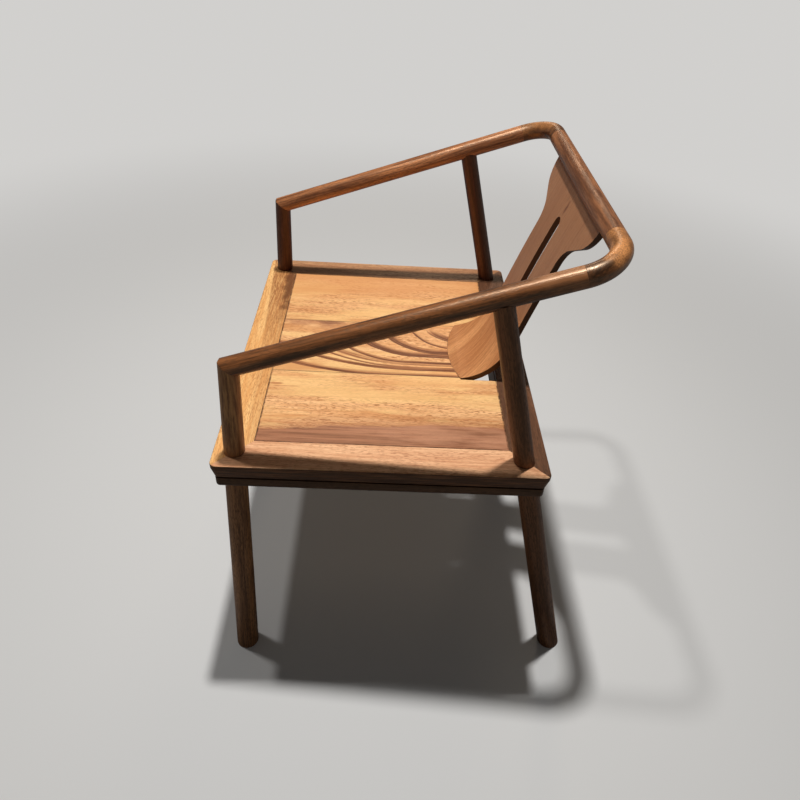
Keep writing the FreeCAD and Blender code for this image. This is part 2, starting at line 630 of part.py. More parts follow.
def splat_side(doc):
    """The splat seen from the side: a flat foot, a sweep upwards and a long bow, all of one thickness."""
    body = doc.addObject("PartDesign::Body", "splat_side")
    body.setExpression("Placement", ON_THE_SEAT)
    bottom = "-sizes.board_thickness"
    points = [
        ("0", bottom),
        ("sizes.splat_pad_length", bottom),
        ("sizes.splat_pad_length", "splat.pad_back_z"),
        ("splat.join_back_y", "splat.join_back_z"),
        ("splat.top_back_y", "splat.top_back_z"),
        ("splat.top_front_y", "splat.top_front_z"),
        ("splat.join_front_y", "splat.join_front_z"),
        ("sizes.splat_foot_flat", "0"),
        ("0", "0"),
    ]
    arcs = {
        2: ("splat.back_sweep_radius", 1),
        3: ("splat.back_bow_radius", -1),
        5: ("splat.bow_radius", 1),
        6: ("splat.sweep_radius", -1),
    }
    side = outline(body, "splat_side_outline", "YZ_Plane", points, arcs)
    pad(body, "splat_sheet", side, "2 * splat.lobe_end_x + sizes.overrun", symmetric=True)
    return body


def splat_front(doc):
    """The splat seen from the front: nearly straight, with two ears under the top rail."""
    body = doc.addObject("PartDesign::Body", "splat_front")
    body.setExpression("Placement", ON_THE_SEAT)
    left_side = [
        ("splat.foot_x", "-sizes.board_thickness - sizes.overrun"),
        ("splat.foot_x", "0"),
        ("splat.waist_x", "splat.waist_z"),
        ("splat.hollow_end_x", "splat.hollow_end_z"),
        ("splat.lobe_start_x", "splat.lobe_start_z"),
        ("splat.lobe_end_x", "splat.lobe_end_z"),
        ("splat.lobe_end_x", "splat.top + sizes.overrun"),
    ]
    right_side = [("-" + across, up) for across, up in reversed(left_side)]
    arcs = {
        2: ("sizes.ear_hollow_radius", -1),
        4: ("sizes.ear_lobe_radius", 1),
        8: ("sizes.ear_lobe_radius", 1),
        10: ("sizes.ear_hollow_radius", -1),
    }
    front = outline(body, "splat_front_outline", "XZ_Plane", left_side + right_side, arcs)
    pad(body, "splat_shadow", front, "2 * splat.back + 2 * sizes.overrun", symmetric=True)
    return body


def splat_slot(doc):
    """The long slot, round at both ends, cut level from front to back."""
    reach = "splat.back + sizes.overrun"
    middle = block(doc, "slot_middle", "sizes.slot_width", reach, "splat.slot_top_z - splat.slot_bottom_z",
                   ("0", f"places.foot_y + ({reach}) / 2", "splat.slot_bottom_z"))
    ends = [rod(doc, f"slot_{end}_round", "sizes.slot_width / 2", reach,
                ("0", "places.foot_y", f"splat.slot_{end}_z"), ALONG_Y) for end in ("bottom", "top")]
    return fuse(doc, "splat_slot", [middle] + ends)


def foot_bow(doc, name, extra):
    """An upright drum whose front follows the curved front of the splat's foot."""
    return rod(doc, name, f"places.foot_bow_radius + {extra}", "2 * sizes.seat_height",
               ("0", "places.foot_y + places.foot_bow_radius", "0"), STRAIGHT)


def back_splat(doc, screws):
    """The bent splat, coped to the underside of the top rail, with its tenon."""
    sheet = common(doc, "splat_sheet_trimmed",
                   [splat_side(doc), splat_front(doc), foot_bow(doc, "foot_front", "0")])
    rail_room = top_rail_rod(doc, "top_rail_room", "sizes.fit_clearance")
    coped = cut(doc, "splat_coped", sheet, [rail_room, splat_slot(doc), screws])
    fuse(doc, "back_splat", [coped, splat_tenon(doc, "splat_tenon")])


def seat_panel(doc):
    """The whole seat panel, with its tongue and the notch behind the splat, before it is parted."""
    def centred(name, wide, deep, tall):
        return block(doc, name, wide, deep, tall, ("0", "places.seat_y", "places.board_bottom"))

    top = centred("panel_top", "places.panel_width", "places.panel_depth", "sizes.board_thickness")
    tongue = centred("panel_tongue", "(places.opening_width + 2 * sizes.tongue_length)",
                     "(places.opening_depth + 2 * sizes.tongue_length)", "sizes.tongue_thickness")
    whole = fuse(doc, "panel_blank", [top, tongue])
    notch = common(doc, "panel_notch", [
        foot_bow(doc, "notch_front", "sizes.board_gap"),
        block(doc, "notch_sides", "sizes.notch_width", "sizes.seat_depth", "2 * sizes.seat_height",
              ("0", "places.foot_y + sizes.seat_depth / 2 - sizes.board_gap", "0")),
    ])
    return cut(doc, "seat_panel", whole, [notch])


def seat_boards(doc):
    """Part the panel into its boards, from the sitter's right to the left."""
    panel = seat_panel(doc)
    edge = "(places.opening_width / 2 + sizes.tongue_length)"
    seams = ["-sizes.centre_board_width / 2", "sizes.centre_board_width / 2"]
    starts = [f"-{edge}"] + [f"{seam} + sizes.board_gap / 2" for seam in seams]
    ends = [f"{seam} - sizes.board_gap / 2" for seam in seams] + [edge]
    for board, start, end in zip(("right", "centre", "left"), starts, ends):
        strip = block(doc, f"{board}_strip", f"{end} - ({start})", "sizes.seat_depth", "sizes.seat_height",
                      (f"({start} + {end}) / 2", "places.seat_y", "places.batten_bottom"))
        common(doc, f"seat_board_{board}", [panel, strip])


def batten_tenon(doc, name, where, extra="0"):
    """One bar for both tenons of a batten, from side rail to side rail."""
    return block(doc, name, f"places.opening_width + 2 * (sizes.batten_tenon_length + {extra})",
                 f"sizes.batten_width - 2 * sizes.batten_tenon_drop + 2 * {extra}",
                 f"sizes.batten_tenon_height + 2 * {extra}",
                 ("0", f"places.{where}_batten_y", f"places.batten_tenon_bottom - {extra}"))


def batten(doc, name, where, screws):
    """A bar under the boards, tenoned into both side rails."""
    bar = block(doc, f"{where}_batten_bar", "places.panel_width", "sizes.batten_width", "sizes.batten_height",
                ("0", f"places.{where}_batten_y", "places.batten_bottom"))
    pieces = [bar, batten_tenon(doc, f"{where}_batten_tenon", where)]
    if screws is None:
        return fuse(doc, name, pieces)
    return cut(doc, name, fuse(doc, name + "_blank", pieces), [screws])


def mitre_keys(doc, name, extra="0"):
    """Square keys that lie flat across the four mitres of the seat frame."""
    inset = "sizes.key_inset * sqrt(1 / 2)"
    size = f"sizes.key_size + 2 * {extra}"
    keys = []
    for side, end in ((1, 1), (1, -1), (-1, -1), (-1, 1)):
        key = doc.addObject("Part::Box", f"{name}_{len(keys)}")
        bind(key, {"Length": size, "Width": size, "Height": f"sizes.key_thickness + 2 * {extra}"})
        across = f"{side} * (sizes.seat_width / 2 - {inset})"
        back = f"places.seat_y - ({size}) * sqrt(1 / 2) + {end} * (sizes.seat_depth / 2 - {inset})"
        place(key, (across, back, f"places.key_bottom - {extra}"), DIAGONAL)
        keys.append(key)
    return group(doc, name, keys)


def screw(doc, name, at, length):
    """A countersunk screw driven upwards, its head flush with what it holds."""
    x, y, z = at
    head = taper(doc, name + "_head", "sizes.screw_head_diameter / 2", "sizes.screw_diameter / 2",
                 "sizes.screw_head_height", at, STRAIGHT)
    shank = rod(doc, name + "_shank", "sizes.screw_diameter / 2", length, at, STRAIGHT)
    return fuse(doc, name, [head, shank])


def band_screws(doc):
    """Two screws up through each piece of the lower band, into the seat rail above it."""
    side_x = "(sizes.seat_width - sizes.rail_width) / 2"
    end_y = "(sizes.seat_depth - sizes.rail_width) / 2"
    spots = []
    for side in (1, -1):
        for end in (1, -1):
            spots.append((f"{side} * {side_x}", f"{end} * sizes.band_screw_share * sizes.seat_depth"))
            spots.append((f"{side} * sizes.band_screw_share * sizes.seat_width", f"{end} * {end_y}"))
    screws = [screw(doc, f"band_screw_{index}",
                    (across, f"places.seat_y + {along}", "places.shoulder_height"), "sizes.band_screw_length")
              for index, (across, along) in enumerate(spots)]
    return group(doc, "under_rail_screws", screws)


def splat_screws(doc):
    """Three screws up through the rear batten into the splat's foot."""
    middle = "places.foot_y + sizes.splat_pad_length / 2"
    screws = [screw(doc, f"splat_screw_{index}",
                    (f"{index - 1} * sizes.splat_screw_spacing", middle, "places.batten_bottom"),
                    "sizes.splat_screw_length") for index in range(3)]
    return group(doc, "splat_screws", screws)


def seat_frame(doc, screws):
    """Seat rails and band rails, with all that is cut into them."""
    holes = post_holes(doc)
    mitre_keys(doc, "seat_mitre_keys")
    groove = block(doc, "tongue_groove",
                   "places.opening_width + 2 * (sizes.tongue_length + sizes.end_clearance)",
                   "places.opening_depth + 2 * (sizes.tongue_length + sizes.end_clearance)",
                   "sizes.tongue_thickness + 2 * sizes.fit_clearance",
                   ("0", "places.seat_y", "places.board_bottom - sizes.fit_clearance"))
    mortises = [batten_tenon(doc, f"{where}_batten_mortise", where, "sizes.fit_clearance")
                for where in ("front", "back")]
    sockets = mitre_keys(doc, "key_sockets", "sizes.fit_clearance")
    frame = cut(doc, "frame_worked", seat_frame_blank(doc), holes + mortises + [groove, sockets, screws])
    mitred_rails(doc, frame, "seat", "places.frame_bottom", "sizes.rail_thickness")
    band = cut(doc, "band_worked", band_blank(doc), holes + [screws])
    mitred_rails(doc, band, "under", "places.shoulder_height", "sizes.band_height")


def horseshoe(doc):
    """Arms, bends and top rail, with the dowels at their joints."""
    across = [f"places.across_{axis} / places.across_length" for axis in "xyz"]
    forward = ["0", "places.arm_forward", "places.arm_upward"]
    sideways = ["1", "0", "0"]
    mitre_pin, mitre_hole = dowel(doc, "mitre_dowel", FRONT_MITRE, across, ACROSS_MITRE,
                                  "sizes.mitre_dowel_length")
    arm_pin, arm_hole = dowel(doc, "arm_dowel", ARM_JOINT, forward, ALONG_ARM, "sizes.bend_dowel_length")
    rail_pin, rail_hole = dowel(doc, "rail_dowel", RAIL_JOINT, sideways, ALONG_X, "sizes.bend_dowel_length")
    pair(doc, "arm_mitre_dowels", mitre_pin)
    pair(doc, "arm_bend_dowels", arm_pin)
    pair(doc, "rail_bend_dowels", rail_pin)
    front_posts(doc, mitre_hole)
    arms(doc, [mitre_hole, arm_hole])
    bends(doc, [arm_hole, rail_hole])
    top_rail(doc, [rail_hole, mirrored(doc, "rail_dowel_hole_twin", rail_hole)])


NODES = [
    "front_left_post", "front_right_post", "back_left_post", "back_right_post",
    "seat_front_rail", "seat_back_rail", "seat_left_rail", "seat_right_rail",
    "under_front_rail", "under_back_rail", "under_left_rail", "under_right_rail",
    "seat_board_right", "seat_board_centre", "seat_board_left",
    "front_batten", "rear_batten",
    "left_arm", "right_arm", "left_bend", "right_bend", "top_rail", "back_splat",
    "seat_mitre_keys", "arm_mitre_dowels", "arm_bend_dowels", "rail_bend_dowels",
    "under_rail_screws", "splat_screws",
]


def build_chair():
    doc = FreeCAD.newDocument("horseshoe_back_armchair")
    fill_sheet(doc)
    work_out(doc, "places", PLACES)
    work_out(doc, "splat", SPLAT_PLACES)
    seat_frame(doc, band_screws(doc))
    seat_boards(doc)
    foot_screws = splat_screws(doc)
    batten(doc, "front_batten", "front", None)
    batten(doc, "rear_batten", "back", foot_screws)
    horseshoe(doc)
    back_posts(doc)
    back_splat(doc, foot_screws)
    doc.recompute()
    return doc


def check(doc):
    """Stop if anything failed, is loose or is not a sound solid."""
    for thing in doc.Objects:
        if "Invalid" in thing.State or "Error" in thing.State:
            raise RuntimeError(f"{thing.Name} did not compute: {thing.State}")
        if thing.TypeId == "Sketcher::SketchObject" and not thing.FullyConstrained:
            raise RuntimeError(f"{thing.Name} is not fully constrained")
    for name in NODES:
        shape = doc.getObject(name).Shape
        if shape.isNull() or not shape.isValid() or not shape.Solids:
            raise RuntimeError(f"{name} is not a sound solid")


def write(doc):
    os.makedirs("parts", exist_ok=True)
    for name in NODES:
        node = doc.getObject(name)
        node.Label = name
        node.Shape.exportStep(f"parts/{name}.step")
        print(name, len(node.Shape.Solids), "solid(s),", round(node.Shape.Volume), "cubic mm")


chair = build_chair()
check(chair)
write(chair)
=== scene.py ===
import math

import bmesh
import bpy
from mathutils import Matrix, Vector


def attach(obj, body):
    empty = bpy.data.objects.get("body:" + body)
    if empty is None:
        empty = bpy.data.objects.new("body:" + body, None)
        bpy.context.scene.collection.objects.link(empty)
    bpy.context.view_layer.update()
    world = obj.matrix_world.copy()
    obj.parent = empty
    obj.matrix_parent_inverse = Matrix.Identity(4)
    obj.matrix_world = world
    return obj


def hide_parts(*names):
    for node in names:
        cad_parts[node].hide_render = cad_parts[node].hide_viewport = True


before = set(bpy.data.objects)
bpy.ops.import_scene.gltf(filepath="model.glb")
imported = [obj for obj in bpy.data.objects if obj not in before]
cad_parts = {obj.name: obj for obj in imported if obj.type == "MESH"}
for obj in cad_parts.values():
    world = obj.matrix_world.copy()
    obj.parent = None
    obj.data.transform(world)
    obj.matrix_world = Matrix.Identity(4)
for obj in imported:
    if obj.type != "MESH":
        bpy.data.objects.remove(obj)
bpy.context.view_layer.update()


# The four posts. Each is one turned walnut member, leg below the seat and arm post above it, cut level at
# the floor and mitred or tenoned into its arm. All the chair's wood has a satin oil finish.

POST_EASING = 0.0008
POST_BANDS = 0.020
POST_PORES = 0.5
FRONT_POST_WALNUT = ((0.480, 0.225, 0.092), (0.148, 0.061, 0.025), (0.034, 0.015, 0.008))
BACK_POST_WALNUT = ((0.265, 0.108, 0.044), (0.089, 0.034, 0.014), (0.024, 0.010, 0.006))
# The far posts' walnut is darker than the near posts', and this darkness is painted shade.
FAR_POST_SHADED_WALNUT = ((0.155, 0.056, 0.031), (0.062, 0.021, 0.012), (0.020, 0.008, 0.005))
# Golden streaks above the seat on the sitter's left front post, partly its figure and partly painted light.
GOLDEN_LIT_POST = (0.560, 0.280, 0.105)
GOLD_BEGINS, GOLD_ENDS = 0.40, 0.50
POST_RUBBED = (0.260, 0.125, 0.055)
RUBBED_WIDTH = 0.0015
RUBBED_STRENGTH = 0.45
# How well a face's normal agrees with its neighbours': on a flat face, and on an edge that is rubbed bare.
FLAT_FACE, BARE_EDGE = 0.995, 0.9
PORE_DEPTH = 0.00012
# Each pattern of noise has its features per metre along each axis, its detail and its roughness. In the
# grain's patterns the first axis runs along the wood, and the bands' features are for each band width.
DRIFT_PATTERN, DRIFT_REACH = ((2.5, 9.0, 9.0), 2.0, 0.5), 0.014
BAND_PATTERN = ((0.06, 1.0, 1.0), 3.0, 0.6)
STREAK_PATTERN = ((6.0, 150.0, 150.0), 5.0, 0.72)
LINE_PATTERN = ((22.0, 460.0, 460.0), 2.0, 0.5)
FLECK_PATTERN = ((120.0, 620.0, 620.0), 2.0, 0.5)
FLECKED_ZONES = ((8.0, 50.0, 50.0), 2.0, 0.6)
WEAR_PATTERN = ((60.0, 60.0, 60.0), 3.0, 0.5)
PATCH_PATTERN = ((60.0, 40.0, 60.0), 2.0, 0.5)
GOLD_PATTERN = ((260.0, 260.0, 22.0), 3.0, 0.6)
# A tone turns a pattern into an effect. It has the pattern's values between which the effect grows, and
# then the effect's strength at each of them, which is 0 and 1 where the tone doesn't say.
BAND_TONE = (0.38, 0.62, 0.0, 0.50)
STREAK_TONE = (0.40, 0.62, 0.0, 0.42)
LINE_TONE = (0.44, 0.58, 0.0, 0.30)
FLECK_TONE = (0.48, 0.62)
FLECKED_ZONE_TONE = (0.34, 0.62, 0.45, 1.0)
WEAR_TONE = (0.35, 0.62)
GOLD_TONE = (0.40, 0.66, 0.10, 0.70)
# How the streaks stand out from the surface, and how much rougher they and the pores make the finish.
STREAK_RELIEF = (0.3, 0.7, 0.0, 0.3)
STREAK_ROUGHNESS = (0.3, 0.7, 0.0, 0.09)
PORE_ROUGHNESS = 0.25
# How ragged a patch is, and how it fades with the distance from its centre, in shares of its reach.
PATCH_RAGGEDNESS = (0.2, 0.8, -0.30, 0.30)
PATCH_FADE = (0.30, 1.05, 1.0, 0.0)
# The oil's reflections are warm. Its smoothest spots have this roughness, and pores are the roughest.
OIL_GLOSS = (1.0, 0.70, 0.46)
OIL_SHINE = 0.5
OIL_SMOOTHEST = 0.36
FRONT_POST_UPWARDS = Vector((-0.0786, 0.0357, 1))
BACK_POST_UPWARDS = Vector((-0.0421, -0.2695, 1))
TO_OTHER_SIDE = Vector((-1, 1, 1))
# The colour sockets of a Mix node, which share their names with its other sockets.
MIX_SHARE, MIX_FIRST, MIX_SECOND, MIX_RESULT = 0, 6, 7, 2
SAME_POINT = 0.000001
SAME_PLANE = math.radians(0.2)
SHARP = math.radians(30)
EASING_SEGMENTS = 2
WORN_EDGE_SAMPLES = 4


def add_node(tree, kind, inputs, **settings):
    """Adds a shader node. Each input is a value, or the socket that feeds it."""
    made = tree.nodes.new(kind)
    for key, value in settings.items():
        setattr(made, key, value)
    for name, value in inputs.items():
        socket = made.inputs[name]
        if isinstance(value, bpy.types.NodeSocket):
            tree.links.new(value, socket)
        elif socket.type == "RGBA":
            socket.default_value = (*value, 1)
        else:
            socket.default_value = value
    return made


def number(tree, operation, first, second=0.0):
    return add_node(tree, "ShaderNodeMath", {0: first, 1: second}, operation=operation).outputs[0]


def vector(tree, operation, first, second):
    return add_node(tree, "ShaderNodeVectorMath", {0: first, 1: second}, operation=operation).outputs[0]


def soft_step(tree, value, low, high, bottom=0.0, top=1.0):
    """Bottom below low and top above high, with a smooth change between them."""
    limits = {"Value": value, "From Min": low, "From Max": high, "To Min": bottom, "To Max": top}
    return add_node(tree, "ShaderNodeMapRange", limits, interpolation_type="SMOOTHSTEP").outputs[0]


def blend(tree, share, first, second):
    mix = {MIX_SHARE: share, MIX_FIRST: first, MIX_SECOND: second}
    return add_node(tree, "ShaderNodeMix", mix, data_type="RGBA").outputs[MIX_RESULT]


def noise(tree, place, per_metre, detail, roughness):
    """Noise with its own number of features per metre along each axis. Most of it lies from 0.3 to 0.7."""
    scaled = vector(tree, "MULTIPLY", place, per_metre)
    inputs = {"Vector": scaled, "Scale": 1.0, "Detail": detail, "Roughness": roughness}
    return add_node(tree, "ShaderNodeTexNoise", inputs).outputs[0]


def new_group(name, inputs, outputs):
    """An empty shader group with named sockets, and the sockets of its input and output nodes."""
    tree = bpy.data.node_groups.new(name, "ShaderNodeTree")
    for label, kind in inputs:
        tree.interface.new_socket(label, in_out="INPUT", socket_type=kind)
    for label, kind in outputs:
        tree.interface.new_socket(label, in_out="OUTPUT", socket_type=kind)
    return tree, tree.nodes.new("NodeGroupInput").outputs, tree.nodes.new("NodeGroupOutput").inputs


def make_walnut_grain():
    """Walnut with its grain along X: broad bands of tone, fine streaks and short dark pores."""
    tree, given, out = new_group(
        "walnut_grain",
        [("Vector", "NodeSocketVector"), ("Pale", "NodeSocketColor"), ("Deep", "NodeSocketColor"),
         ("Pore", "NodeSocketColor"), ("Band width", "NodeSocketFloat"), ("Pores", "NodeSocketFloat"),
         ("Smoothest", "NodeSocketFloat")],
        [("Color", "NodeSocketColor"), ("Height", "NodeSocketFloat"), ("Roughness", "NodeSocketFloat")])
    place = given["Vector"]
    drift = noise(tree, place, *DRIFT_PATTERN)
    drift = vector(tree, "MULTIPLY", drift, (0.0, DRIFT_REACH, DRIFT_REACH))
    wandering = vector(tree, "ADD", place, drift)
    scale = {0: wandering, "Scale": number(tree, "DIVIDE", 1.0, given["Band width"])}
    banded = add_node(tree, "ShaderNodeVectorMath", scale, operation="SCALE").outputs[0]
    bands = soft_step(tree, noise(tree, banded, *BAND_PATTERN), *BAND_TONE)
    streaks = noise(tree, wandering, *STREAK_PATTERN)
    lines = soft_step(tree, noise(tree, wandering, *LINE_PATTERN), *LINE_TONE)
    flecks = soft_step(tree, noise(tree, wandering, *FLECK_PATTERN), *FLECK_TONE)
    zones = soft_step(tree, noise(tree, place, *FLECKED_ZONES), *FLECKED_ZONE_TONE)
    tone = number(tree, "ADD", bands, soft_step(tree, streaks, *STREAK_TONE))
    tone = number(tree, "ADD", tone, lines)
    pores = number(tree, "MULTIPLY", number(tree, "MULTIPLY", flecks, zones), given["Pores"])
    wood = blend(tree, tone, given["Pale"], given["Deep"])
    relief = number(tree, "SUBTRACT", soft_step(tree, streaks, *STREAK_RELIEF), pores)
    rougher = number(tree, "ADD", soft_step(tree, streaks, *STREAK_ROUGHNESS),
                     number(tree, "MULTIPLY", pores, PORE_ROUGHNESS))
    tree.links.new(blend(tree, pores, wood, given["Pore"]), out["Color"])
    tree.links.new(relief, out["Height"])
    tree.links.new(number(tree, "ADD", rougher, given["Smoothest"]), out["Roughness"])
    return tree


def make_rubbed_edge():
    """Edges rubbed by hands and cloths, where the finish is thinner and the wood paler, in patches."""
    tree, given, out = new_group(
        "rubbed_edge",
        [("Color", "NodeSocketColor"), ("Rubbed", "NodeSocketColor"), ("Width", "NodeSocketFloat"),
         ("Strength", "NodeSocketFloat")],
        [("Color", "NodeSocketColor")])
    rounded = add_node(tree, "ShaderNodeBevel", {"Radius": given["Width"]},
                       samples=WORN_EDGE_SAMPLES).outputs[0]
    flat = tree.nodes.new("ShaderNodeNewGeometry").outputs["Normal"]
    agreement = add_node(tree, "ShaderNodeVectorMath", {0: rounded, 1: flat}, operation="DOT_PRODUCT")
    place = tree.nodes.new("ShaderNodeTexCoord").outputs["Object"]
    patches = soft_step(tree, noise(tree, place, *WEAR_PATTERN), *WEAR_TONE)
    edge = soft_step(tree, agreement.outputs["Value"], FLAT_FACE, BARE_EDGE)
    share = number(tree, "MULTIPLY", number(tree, "MULTIPLY", edge, patches), given["Strength"])
    tree.links.new(blend(tree, share, given["Color"], given["Rubbed"]), out["Color"])
    return tree


def make_soft_patch():
    """An uneven patch round a centre, with its own reach along each axis."""
    tree, given, out = new_group(
        "soft_patch",
        [("Vector", "NodeSocketVector"), ("Centre", "NodeSocketVector"), ("Reach", "NodeSocketVector")],
        [("Mask", "NodeSocketFloat")])
    away = vector(tree, "DIVIDE", vector(tree, "SUBTRACT", given["Vector"], given["Centre"]), given["Reach"])
    away = add_node(tree, "ShaderNodeVectorMath", {0: away}, operation="LENGTH").outputs["Value"]
    rough = soft_step(tree, noise(tree, given["Vector"], *PATCH_PATTERN), *PATCH_RAGGEDNESS)
    tree.links.new(soft_step(tree, number(tree, "ADD", away, rough), *PATCH_FADE), out["Mask"])
    return tree


walnut_grain = make_walnut_grain()
rubbed_edge = make_rubbed_edge()
soft_patch = make_soft_patch()


def patched(tree, place, colour, patches):
    """Each patch is a centre, a reach, a colour and how much it covers."""
    for centre, reach, patch_colour, cover in patches:
        mask = add_node(tree, "ShaderNodeGroup", {"Vector": place, "Centre": centre, "Reach": reach},
                        node_tree=soft_patch).outputs["Mask"]
        colour = blend(tree, number(tree, "MULTIPLY", mask, cover), colour, patch_colour)
    return colour


def walnut(name, grain_direction, shift, tones, band_width, pores, rubbed, figure=None, attribute=None,
           wear=RUBBED_STRENGTH, shine=OIL_SHINE, smoothest=OIL_SMOOTHEST):
    """Oiled walnut. Tones are its pale, deep and pore colours, and shift moves its pattern. Figure, if any,
    takes the tree, the place on the piece and the colour so far, and returns the colour with the figure in
    it. The grain follows the piece's own attribute, if it has one."""
    material = bpy.data.materials.new(name)
    material.use_nodes = True
    tree = material.node_tree
    shader = tree.nodes["Principled BSDF"]
    place = tree.nodes.new("ShaderNodeTexCoord").outputs["Object"]
    turn = Vector(grain_direction).rotation_difference(Vector((1, 0, 0))).to_euler()
    source = place
    if attribute:
        source = add_node(tree, "ShaderNodeAttribute", {}, attribute_name=attribute).outputs["Vector"]
    turned = {"Vector": source, "Rotation": turn, "Location": shift}
    along_grain = add_node(tree, "ShaderNodeMapping", turned).outputs[0]
    pale, deep, pore = tones
    inputs = {"Vector": along_grain, "Pale": pale, "Deep": deep, "Pore": pore, "Band width": band_width,
              "Pores": pores, "Smoothest": smoothest}
    grain = add_node(tree, "ShaderNodeGroup", inputs, node_tree=walnut_grain).outputs
    colour = figure(tree, place, grain["Color"]) if figure else grain["Color"]
    inputs = {"Color": colour, "Rubbed": rubbed, "Width": RUBBED_WIDTH, "Strength": wear}
    worn = add_node(tree, "ShaderNodeGroup", inputs, node_tree=rubbed_edge).outputs
    bump = add_node(tree, "ShaderNodeBump", {"Height": grain["Height"], "Distance": PORE_DEPTH})
    tree.links.new(worn["Color"], shader.inputs["Base Color"])
    tree.links.new(grain["Roughness"], shader.inputs["Roughness"])
    tree.links.new(bump.outputs[0], shader.inputs["Normal"])
    shader.inputs["Specular Tint"].default_value = (*OIL_GLOSS, 1)
    shader.inputs["Specular IOR Level"].default_value = shine
    return material


def ease_edges(node, material, width):
    """A copy of a CAD node with its sharp edges rubbed round, which stands for the node."""
    shape = bmesh.new()
    shape.from_mesh(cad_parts[node].data)
    bmesh.ops.remove_doubles(shape, verts=shape.verts, dist=SAME_POINT)
    bmesh.ops.dissolve_limit(shape, angle_limit=SAME_PLANE, verts=shape.verts, edges=shape.edges)
    mesh = bpy.data.meshes.new(node + "_eased")
    shape.to_mesh(mesh)
    shape.free()
    mesh.shade_smooth()
    mesh.set_sharp_from_angle(angle=SHARP)
    mesh.materials.clear()
    mesh.materials.append(material)
    piece = bpy.data.objects.new(node + "_eased", mesh)
    bpy.context.scene.collection.objects.link(piece)
    rounding = piece.modifiers.new("rounding", "BEVEL")
    rounding.width = width
    rounding.segments = EASING_SEGMENTS
    rounding.limit_method = "ANGLE"
    rounding.angle_limit = SHARP
    rounding.harden_normals = True
    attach(piece, "root")
    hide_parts(node)
    return piece


def golden_and_lit_above_seat(tree, place, colour):
    """The sitter's left front post has golden streaks above the seat, partly its figure and partly painted
    light.
    """
    height = add_node(tree, "ShaderNodeSeparateXYZ", {0: place}).outputs["Z"]
    streaks = soft_step(tree, noise(tree, place, *GOLD_PATTERN), *GOLD_TONE)
    share = number(tree, "MULTIPLY", streaks, soft_step(tree, height, GOLD_BEGINS, GOLD_ENDS))
    return blend(tree, share, colour, GOLDEN_LIT_POST)


for node, upwards, shift, tones, figure in (
        ("front_left_post", FRONT_POST_UPWARDS, (0.00, 0.0, 0.0), FRONT_POST_WALNUT, golden_and_lit_above_seat),
        ("back_left_post", BACK_POST_UPWARDS, (0.37, 0.1, 0.0), BACK_POST_WALNUT, None),
        ("front_right_post", FRONT_POST_UPWARDS * TO_OTHER_SIDE, (0.81, 0.0, 0.2), FAR_POST_SHADED_WALNUT, None),
        ("back_right_post", BACK_POST_UPWARDS * TO_OTHER_SIDE, (1.13, 0.3, 0.1), FAR_POST_SHADED_WALNUT, None)):
    wood = walnut(node + "_walnut", upwards, shift, tones, POST_BANDS, POST_PORES, POST_RUBBED, figure)
    ease_edges(node, wood, POST_EASING)


# The seat frame. Four walnut rails, mitred and keyed at the corners, golden on top, with a moulded outer
# edge whose upright faces are dark, partly darker oiled wood and partly painted shade.

RAIL_EASING = 0.0004
RAIL_BANDS = 0.03
RAIL_PORES = 0.6
GOLDEN_WALNUT = ((0.980, 0.590, 0.240), (0.800, 0.380, 0.125), (0.440, 0.165, 0.048))
PINK_WALNUT = ((0.940, 0.550, 0.300), (0.640, 0.290, 0.140), (0.400, 0.140, 0.060))
# The far rail's walnut is browner, partly its own tone and partly painted shade.
FAR_RAIL_SHADED_WALNUT = ((0.640, 0.340, 0.165), (0.340, 0.145, 0.062), (0.150, 0.055, 0.022))
BROWN_WALNUT = ((0.200, 0.085, 0.042), (0.090, 0.036, 0.018), (0.030, 0.013, 0.007))
RAIL_RUBBED = (0.420, 0.210, 0.095)
# The dark colour of upright faces and cut edges, partly the wood's own and partly painted shade.
SHADED_EDGE_WALNUT = (0.054, 0.021, 0.009)
EDGE_STREAK = (0.210, 0.086, 0.035)
EDGE_PATTERN, EDGE_TONE = ((16.0, 16.0, 420.0), 4.0, 0.65), (0.42, 0.72)
# How far a face's normal points up, on an upright face and on a level one.
UPRIGHT_FACE, LEVEL_FACE = 0.55, 0.9
# The line between the front rail's halves: its slope, and where it begins and ends across the rail.
HALVES_SLOPE, HALVES_OUTER, HALVES_INNER = -0.065, -0.2645, -0.2615
SPECKLED_WALNUT = (0.360, 0.135, 0.044)
SPECKLE_PATTERN, SPECKLE_TONE = ((45.0, 640.0, 1.0), 3.0, 0.6), (0.40, 0.60, 0.40, 1.0)
# Where along the front rail the speckles are thickest and thinnest, and how thick they are at each.
SPECKLES_THINNING = (-0.20, 0.08, 1.0, 0.30)
# A painted shadow of the front right post: its centre, its reach, its colour and how much it covers.
POST_SHADOW_PATCH = (((-0.215, -0.241, 0.44), (0.150, 0.014, 1.0), (0.130, 0.043, 0.016), 0.85),)
ACROSS_SEAT = (1, 0, 0)
BACK_ALONG_SEAT = (0, 1, 0)


def shaded_dark_edge(tree, place, colour):
    """The upright faces of a rail are darker than its top: partly darker oiled wood, partly painted shade."""
    facing = tree.nodes.new("ShaderNodeNewGeometry").outputs["Normal"]
    upwards = add_node(tree, "ShaderNodeSeparateXYZ", {0: facing}).outputs["Z"]
    streaks = noise(tree, place, *EDGE_PATTERN)
    edge = blend(tree, soft_step(tree, streaks, *EDGE_TONE), SHADED_EDGE_WALNUT, EDGE_STREAK)
    return blend(tree, soft_step(tree, upwards, UPRIGHT_FACE, LEVEL_FACE), edge, colour)


